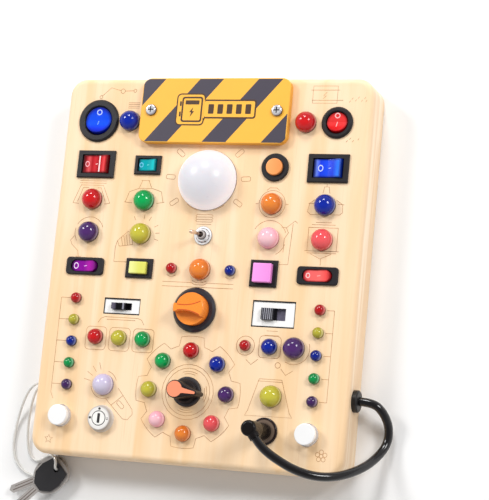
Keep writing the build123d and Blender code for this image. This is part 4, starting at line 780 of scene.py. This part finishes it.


# Each: turn, length, width, round ends; colours along it, painted reflections and shade, and at its border,
# painted shade; its two marks.
rockers = {
    "round_rocker_blue": ((-90, 21.8, 21.8, True), [
        (-11, (2, 34, 190)), (-4, (4, 72, 228)), (3, (0, 76, 236)), (7, (0, 40, 210)), (11, (0, 20, 150))],
        (0, 14, 110), (2.3, 1, 6.3, 2.3, 3.3, (184, 204, 255), (120, 166, 255))),
    "round_rocker_red": ((-90, 16, 16, True), [
        (-8, (216, 46, 46)), (-3, (228, 56, 56)), (2, (224, 42, 44)), (3.6, (220, 12, 18)),
        (8, (196, 0, 10))],
        (120, 4, 12), (2.1, 1, 4.9, 1.8, 4, (255, 192, 192), (255, 172, 172))),
    "wide_rocker_red": ((0, 22.4, 14, False), [
        (-11, (96, 4, 14)), (-8.5, (150, 20, 30)), (-6, (222, 84, 88)), (-3.5, (176, 16, 28)),
        (-1, (206, 40, 50)), (2, (168, 8, 20)), (5, (204, 26, 34)), (7.4, (236, 76, 80)),
        (8.6, (196, 14, 22)), (11, (130, 2, 10))],
        (64, 4, 10), (2.3, 0.8, 7, 0.9, 2.2, (255, 176, 184), (255, 196, 196))),
    "wide_rocker_blue": ((0, 22.4, 14, False), [
        (-11, (4, 16, 110)), (-8.6, (104, 132, 238)), (-6, (24, 60, 222)), (-1, (30, 76, 236)),
        (4, (10, 56, 214)), (8, (24, 120, 255)), (11, (6, 40, 170))],
        (0, 8, 70), (2.5, 0.8, 5.4, 1.8, 2.2, (206, 218, 255), (150, 184, 255))),
    "small_rocker_teal": ((0, 15, 9.4, False), [
        (-7.5, (0, 112, 122)), (-4, (0, 164, 174)), (2, (0, 168, 176)), (5, (6, 198, 204)),
        (7.5, (0, 120, 128))],
        (0, 70, 84), (2, 0.85, 4.9, 0.5, 2.4, (104, 196, 234), (90, 214, 218))),
    "oval_rocker_magenta": ((0, 21.6, 8.6, True), [
        (-10.8, (70, 0, 90)), (-6, (132, 4, 150)), (0, (138, 6, 150)), (4, (176, 4, 168)), (8, (140, 0, 140)),
        (10.8, (70, 0, 84))],
        (60, 0, 70), (2.5, 0.8, 6.9, 1, 3.3, (246, 218, 250), (238, 176, 242))),
    "oval_rocker_coral": ((0, 21.6, 8.6, True), [
        (-10.8, (190, 44, 50)), (-6, (240, 102, 102)), (2, (250, 106, 102)), (7, (240, 78, 76)),
        (10.8, (160, 20, 28))],
        (130, 16, 24), (2, 0.85, 6.8, 1.5, 3, (255, 206, 204), (255, 162, 160))),
}
for name, (form, stops, dark, marks) in rockers.items():
    tinted_rocker(name, *form, stops, dark)
    mark_rocker(name, form[0], *marks)

# A white strip across the wide red rocker's raised half is a painted highlight.
strip_along, strip_width, strip_length = 3.7, 1.2, 12.4
highlight_white = moulded("highlight_white", rgb(255, 230, 230), 0.35, mottle=0.02, grain=3000)
strip = [rounded_box(0, 0, strip_width, strip_length, 0.3)]
flat_shape("wide_rocker_red_strip", strip, mark_thickness, highlight_white, "wide_rocker_red",
                   rocker_half("wide_rocker_red", 0, strip_along, True))

# ---- Push buttons ----
# Solid-coloured ABS buttons, matt on top, in black bezels. The two round white ones at the
# bottom have broad heads over bright metal rings.


def button_face(name, button, light, dark, low, high):
    """Dress a button in a colour that is a little lighter towards one side: painted light and shade."""
    def shade(tree):
        side = ramp(tree, from_middle(tree, button)[0], low / 1000, high / 1000)
        return blended(tree, side, rgb(*light), rgb(*dark))
    dress(moulded(name, shade, 0.34, mottle=0.04, grain=1800, depth=0.03), button)


button_face("lime_face", "lime_button", (238, 241, 152), (224, 224, 100), -6, 3)
button_face("pink_face", "pink_button", (252, 160, 236), (240, 148, 226), -7, 7)
button_face("orange_face", "round_button", (250, 168, 100), (242, 152, 82), -6, 6)
dress(moulded("white_button_abs", rgb(247, 247, 247), mottle=0.02, grain=1800, coat=0.2),
      "white_button_left", "white_button_right")
dress(moulded("bright_chrome", rgb(236, 236, 240), 0.16, mottle=0.05, grain=700, depth=0.01, metallic=0.8),
      "white_button_housings")

# ---- Toggle switch ----
# A turned steel lever in a threaded bushing, held by a hex nut over a bright washer. Light and
# dark bands round the washer and nut are painted highlights and painted shade.


def turned(name, piece, stops, roughness, metallic):
    """Light and dark rings round a piece's middle, with fine tool marks; on the toggle and jack, painted
    highlights and shade.
    """
    def shade(tree):
        return tones(tree, reach(tree, *from_middle(tree, piece)), stops)
    return moulded(name, shade, roughness, mottle=0.1, depth=0.03, metallic=metallic)


# Painted highlights and painted shade: the light and dark rings of the washer and nut.
toggle_painted_rings = [(0, (120, 106, 100)), (2, (140, 126, 120)), (2.9, (214, 208, 206)), (3.1, (84, 76, 76)),
                (3.5, (96, 88, 88)), (3.7, (252, 252, 254)), (4.8, (250, 250, 252)), (5.1, (136, 130, 132)),
                (5.4, (156, 150, 152)), (5.6, (255, 255, 255)), (6.7, (255, 255, 255)),
                (6.95, (126, 120, 120))]
dress(turned("washer_highlights_and_shade", "toggle_housing", toggle_painted_rings, 0.25, 0.1), "toggle_housing")
# The lever's colour is a painted reflection: warm bands along it stand for the wood its polish mirrors, and
# it darkens towards its foot.
lever_shade = by_height((34, (66, 56, 52)), (38.5, (100, 84, 76)), (41, (178, 150, 130)),
                        (43, (130, 104, 90)), (45, (214, 184, 158)), (47, (240, 216, 194)),
                        (50.5, (236, 208, 184)))
dress(moulded("lever_steel", lever_shade, 0.18, grain=900, depth=0.01, metallic=0.5), "toggle_lever")

# ---- Slide switches ----
# White satin plates let into the wood, each edged with a thin black band of painted shade in the gap
# round it, with a glossy black thumb piece on the left one and a ribbed one on the right. Grey bodies
# show in their slots.
dress(moulded("plate_white", rgb(250, 249, 247), 0.4, mottle=0.02, grain=2200), "slide_plates")
left_thumb_top = 32.2


def waved(tree):
    """Polished black with painted reflections of the room: two pale bands across its waved top."""
    bands = tones(tree, from_middle(tree, "left_slide_thumb")[0], [
        (-6.2, (48, 44, 56)), (-5, (104, 100, 116)), (-3.4, (84, 80, 96)), (-2, (14, 13, 16)),
        (2.6, (12, 11, 14)), (3.3, (150, 150, 164)), (4, (150, 150, 164)), (4.7, (12, 11, 14))])
    on_top = calc(tree, "GREATER_THAN", axes(tree)[2], left_thumb_top / 1000)
    return blended(tree, on_top, rgb(14, 13, 16), bands)


dress(moulded("thumb_black", waved, 0.16, mottle=0.1, grain=900, ior=1.35), "left_slide_thumb")
rib_pitch, rib_count, rib_foot, carriage_top = 1.533, 5, 34.1, 31.2


def ribbed(tree):
    """Black with pale crests, painted highlights, between the grooves, on a plain black carriage."""
    z = axes(tree)[2]
    steps = calc(tree, "DIVIDE", from_middle(tree, "right_slide_thumb")[0], rib_pitch / 1000)
    crest = calc(tree, "GREATER_THAN", calc(tree, "PINGPONG", steps, 0.5), 0.28)
    inside = calc(tree, "LESS_THAN", calc(tree, "ABSOLUTE", steps), rib_count / 2)
    on_top = times(tree, crest, inside, calc(tree, "GREATER_THAN", z, rib_foot / 1000))
    thumb = blended(tree, on_top, rgb(34, 33, 38), rgb(156, 156, 166))
    return blended(tree, calc(tree, "LESS_THAN", z, carriage_top / 1000), thumb, rgb(22, 21, 26))


dress(moulded("thumb_grey", ribbed, 0.36, mottle=0.12, grain=1600, depth=0.04, ior=1.4), "right_slide_thumb")
dress(moulded("slot_grey", rgb(118, 113, 134), 0.5, mottle=0.1, grain=1600, depth=0.04), "slide_bodies")
# Painted shade: a thin black band laid in the gap round each plate.
gap_shade_black = moulded("gap_shade_black", rgb(14, 11, 11), 0.7, mottle=0.1, grain=1600)
gap_shade_z, gap_shade_thickness, plates_y = 31.56, 0.5, middle("slide_plates")[1]
gap_shade_edges = ((0.56, 1.3, 0.2), (-0.5, -0.6, 0.1))
for name, x, length, width in (("left_gap_shade", -58.6, 29, 11), ("right_gap_shade", 61.5, 32.4, 18.2)):
    outlines = [rounded_box(x, plates_y, length + longer, width + wider, corner)
                for longer, wider, corner in gap_shade_edges]
    place = placed(0, 0, gap_shade_z)
    flat_shape(name, outlines, gap_shade_thickness, gap_shade_black, "board", place)

# ---- Big rotary selector ----
# An orange pointer knob of glossy ABS in a black dished ring. Two fine darker lines of painted shade
# run along the pointer's creases and flare out to the knob's rim.
dress(moulded("ring_black", rgb(44, 42, 50), mottle=0.12, grain=1600, depth=0.05, coat=0.15), "selector_base")
# Painted shade: the knob is deeper in colour on its side than on its top.
knob_shade = by_height((33, (228, 110, 32)), (38.5, (253, 142, 50)), (40.3, (252, 148, 54)),
                       (46.5, (253, 148, 52)))
dress(moulded("knob_orange", knob_shade, 0.26, mottle=0.05, grain=1300, coat=0.15), "selector_knob")
pointer_place = placed(*middle("selector_base"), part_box("selector_knob")[1][2] * 1000)
# Painted shade: thin dark lines along the pointer's creases.
crease_shade_orange = moulded("crease_shade_orange", rgb(206, 84, 26), 0.35, mottle=0.05, grain=1300)
flare_radius, flare_x, flare_y = 30, -4, 32.3
crease_outer, crease_inner, crease_thickness = 0.1, 0.85, 0.12


def pointer_edge(x, inset):
    """How far the pointer's edge lies from its middle line, less an inset."""
    return flare_y - math.sqrt(flare_radius ** 2 - (x - flare_x) ** 2) - inset


crease_steps = [-8.4 + 0.6 * n for n in range(31)]
crease_shades = [[(x, side * pointer_edge(x, crease_outer)) for x in crease_steps]
          + [(x, side * pointer_edge(x, crease_inner)) for x in reversed(crease_steps)] for side in (-1, 1)]
flat_shape("pointer_crease_shades", crease_shades, crease_thickness, crease_shade_orange, "selector_knob", pointer_place)

# ---- Gear selector ----
# A moulded black pointer knob pushed on its shaft, with a salmon-orange inlay let into its top,
# on a rubbery black collar.
dress(moulded("collar_black", rgb(46, 42, 44), 0.5, mottle=0.2, grain=1200, depth=0.1), "gear_selector_base")
dress(moulded("pointer_black", rgb(36, 29, 29), 0.4, mottle=0.2, depth=0.05, ior=1.3), "gear_selector_knob")
inlay_z, gear_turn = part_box("gear_selector_knob")[1][2] * 1000 - 0.02, -7
inlay_half = [(2.4, 2.1), (3.8, 1.8), (6.6, 1.5), (9.4, 1.25), (12.6, 0.9)]
inlay = [*arc_points(-3.2, 0, 5.8, 22, 338, 28), *((x, -y) for x, y in inlay_half), (13.2, 0),
         *inlay_half[::-1]]
salmon = moulded("inlay_salmon", rgb(248, 150, 112), 0.4, mottle=0.05, grain=1800, depth=0.03)
inlay_place = placed(ring_x, ring_y, inlay_z, gear_turn)
flat_shape("pointer_inlay", [inlay], 0.3, salmon, "gear_selector_knob", inlay_place)

# ---- Key lock ----
# A turned zinc cam lock with a pale satin nickel face, held by a nut behind the wood. Its rotor
# has a keyway covered by a dark sheet of painted shade, and its face carries dark printed marks.
lock_rings = [(0, (250, 248, 244)), (4.7, (250, 248, 244)), (7.9, (240, 236, 232)), (8.3, (206, 200, 196)),
              (9, (168, 162, 158)), (10.2, (226, 222, 218))]
dress(turned("satin_nickel", "lock_housing", lock_rings, 0.36, 0.1), "lock_housing", "lock_cylinder")
# Dark for the printed marks, and for the painted shade over the keyway.
print_and_shade_dark = moulded("print_and_shade_dark", rgb(40, 36, 38), 0.5, mottle=0.05, grain=2400)
lock_marks = [polygon(40, 5.6), polygon(40, 5.04), polygon(14, 0.95, 0, 7), polygon(14, 0.95, -7, 0),
              rounded_box(6.9, 0.5, 1.4, 0.5, 0.2), rounded_box(6.9, -0.6, 1.4, 0.5, 0.2)]
marks_place, keyway_place = (placed(*middle("lock_housing"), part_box(name)[1][2] * 1000)
                             for name in ("lock_housing", "lock_cylinder"))
flat_shape("lock_marks", lock_marks, 0.06, print_and_shade_dark, "board", marks_place)
keyway = [rounded_box(0, 0, 2.1, 7.2, 0.5)]
# Painted shade: a dark sheet over the keyway.
flat_shape("keyway_painted_shade", keyway, 0.08, print_and_shade_dark, "lock_cylinder", keyway_place)

# ---- Jack, plug and gland ----
# A black moulded jack socket with a brown face in rings of painted highlight and painted shade, the
# ridged angled plug on the cable, and the round gland where the cable leaves the case.
dress(moulded("plug_black", rgb(18, 14, 14), 0.28, mottle=0.2, grain=1000, depth=0.06, ior=1.3), "patch_plug")
# Painted highlight and painted shade: the light and dark rings of the jack's face.
jack_painted_rings = [(0, (78, 64, 56)), (5.6, (96, 80, 68)), (7.8, (118, 100, 86)), (8.5, (62, 46, 41)),
              (9, (20, 11, 12)), (9.6, (40, 27, 27)), (10.4, (22, 14, 15))]
dress(turned("jack_black", "jack_socket", jack_painted_rings, 0.22, 0), "jack_socket")
dress(moulded("gland_black", rgb(22, 20, 21), 0.4, mottle=0.15, grain=1300, depth=0.06), "cable_gland")

# ---- Inside the case ----
# Three cells in green sleeves in the battery tray, two glass-fibre boards under a green solder
# mask, and stamped brass blades under the switches.
dress(moulded("cell_sleeve", rgb(52, 112, 78), mottle=0.1, coat=0.3), "batteries")
dress(moulded("solder_mask", rgb(24, 104, 56), 0.28, mottle=0.2, grain=600, coat=0.3), "circuit_boards")
dress(moulded("plain_brass", rgb(214, 178, 92), 0.25, mottle=0.05, grain=700, depth=0.01, metallic=1),
      "switch_blades")

# ---- Table and light ----
# A wide pale floor and a bright even room, with three soft square lights that give each dome its
# highlights.
floor_size, light_distance, light_size, light_power = 8, 3, 0.75, 34
bpy.ops.mesh.primitive_plane_add(size=floor_size, location=(0, 0, 0))
floor = bpy.context.active_object
floor.name = "floor"
floor_white, floor_tree, floor_shader = new_material("floor_paper")
feed(floor_tree, floor_shader, {"Base Color": (0.95, 0.95, 0.95, 1), "Roughness": 0.7})
floor.data.materials.append(floor_white)

world = bpy.data.worlds.new("room")
bpy.context.scene.world = world
world.use_nodes = True
sky_tree = world.node_tree
sky_height = axes(sky_tree, "Generated")[2]
sky_strength = calc(sky_tree, "MULTIPLY_ADD", ramp(sky_tree, sky_height, 0.45, 0.85), -0.36, 0.62)
feed(sky_tree, sky_tree.nodes["Background"], {"Strength": sky_strength, "Color": (1, 0.99, 0.98, 1)})

# Each light looks at the middle of the board and stands where a dome's skin, facing the camera so
# far across and up, mirrors it.
for n, (across, up) in enumerate(((-0.46, 0.33), (-0.1, 0.51), (0.25, 0.24))):
    facing = math.sqrt(1 - across ** 2 - up ** 2)
    bounce = Vector((2 * facing * across, 2 * facing * up, 2 * facing * facing - 1))
    place = camera_turn @ bounce * light_distance
    light = bpy.data.lights.new(f"spark_{n}", "AREA")
    light.size, light.energy = light_size, light_power
    lamp = add_object(f"spark_{n}", light)
    lamp.location, lamp.rotation_euler = place, (-place).to_track_quat("-Z", "Y").to_euler()
bpy.context.scene.view_settings.view_transform = "Standard"
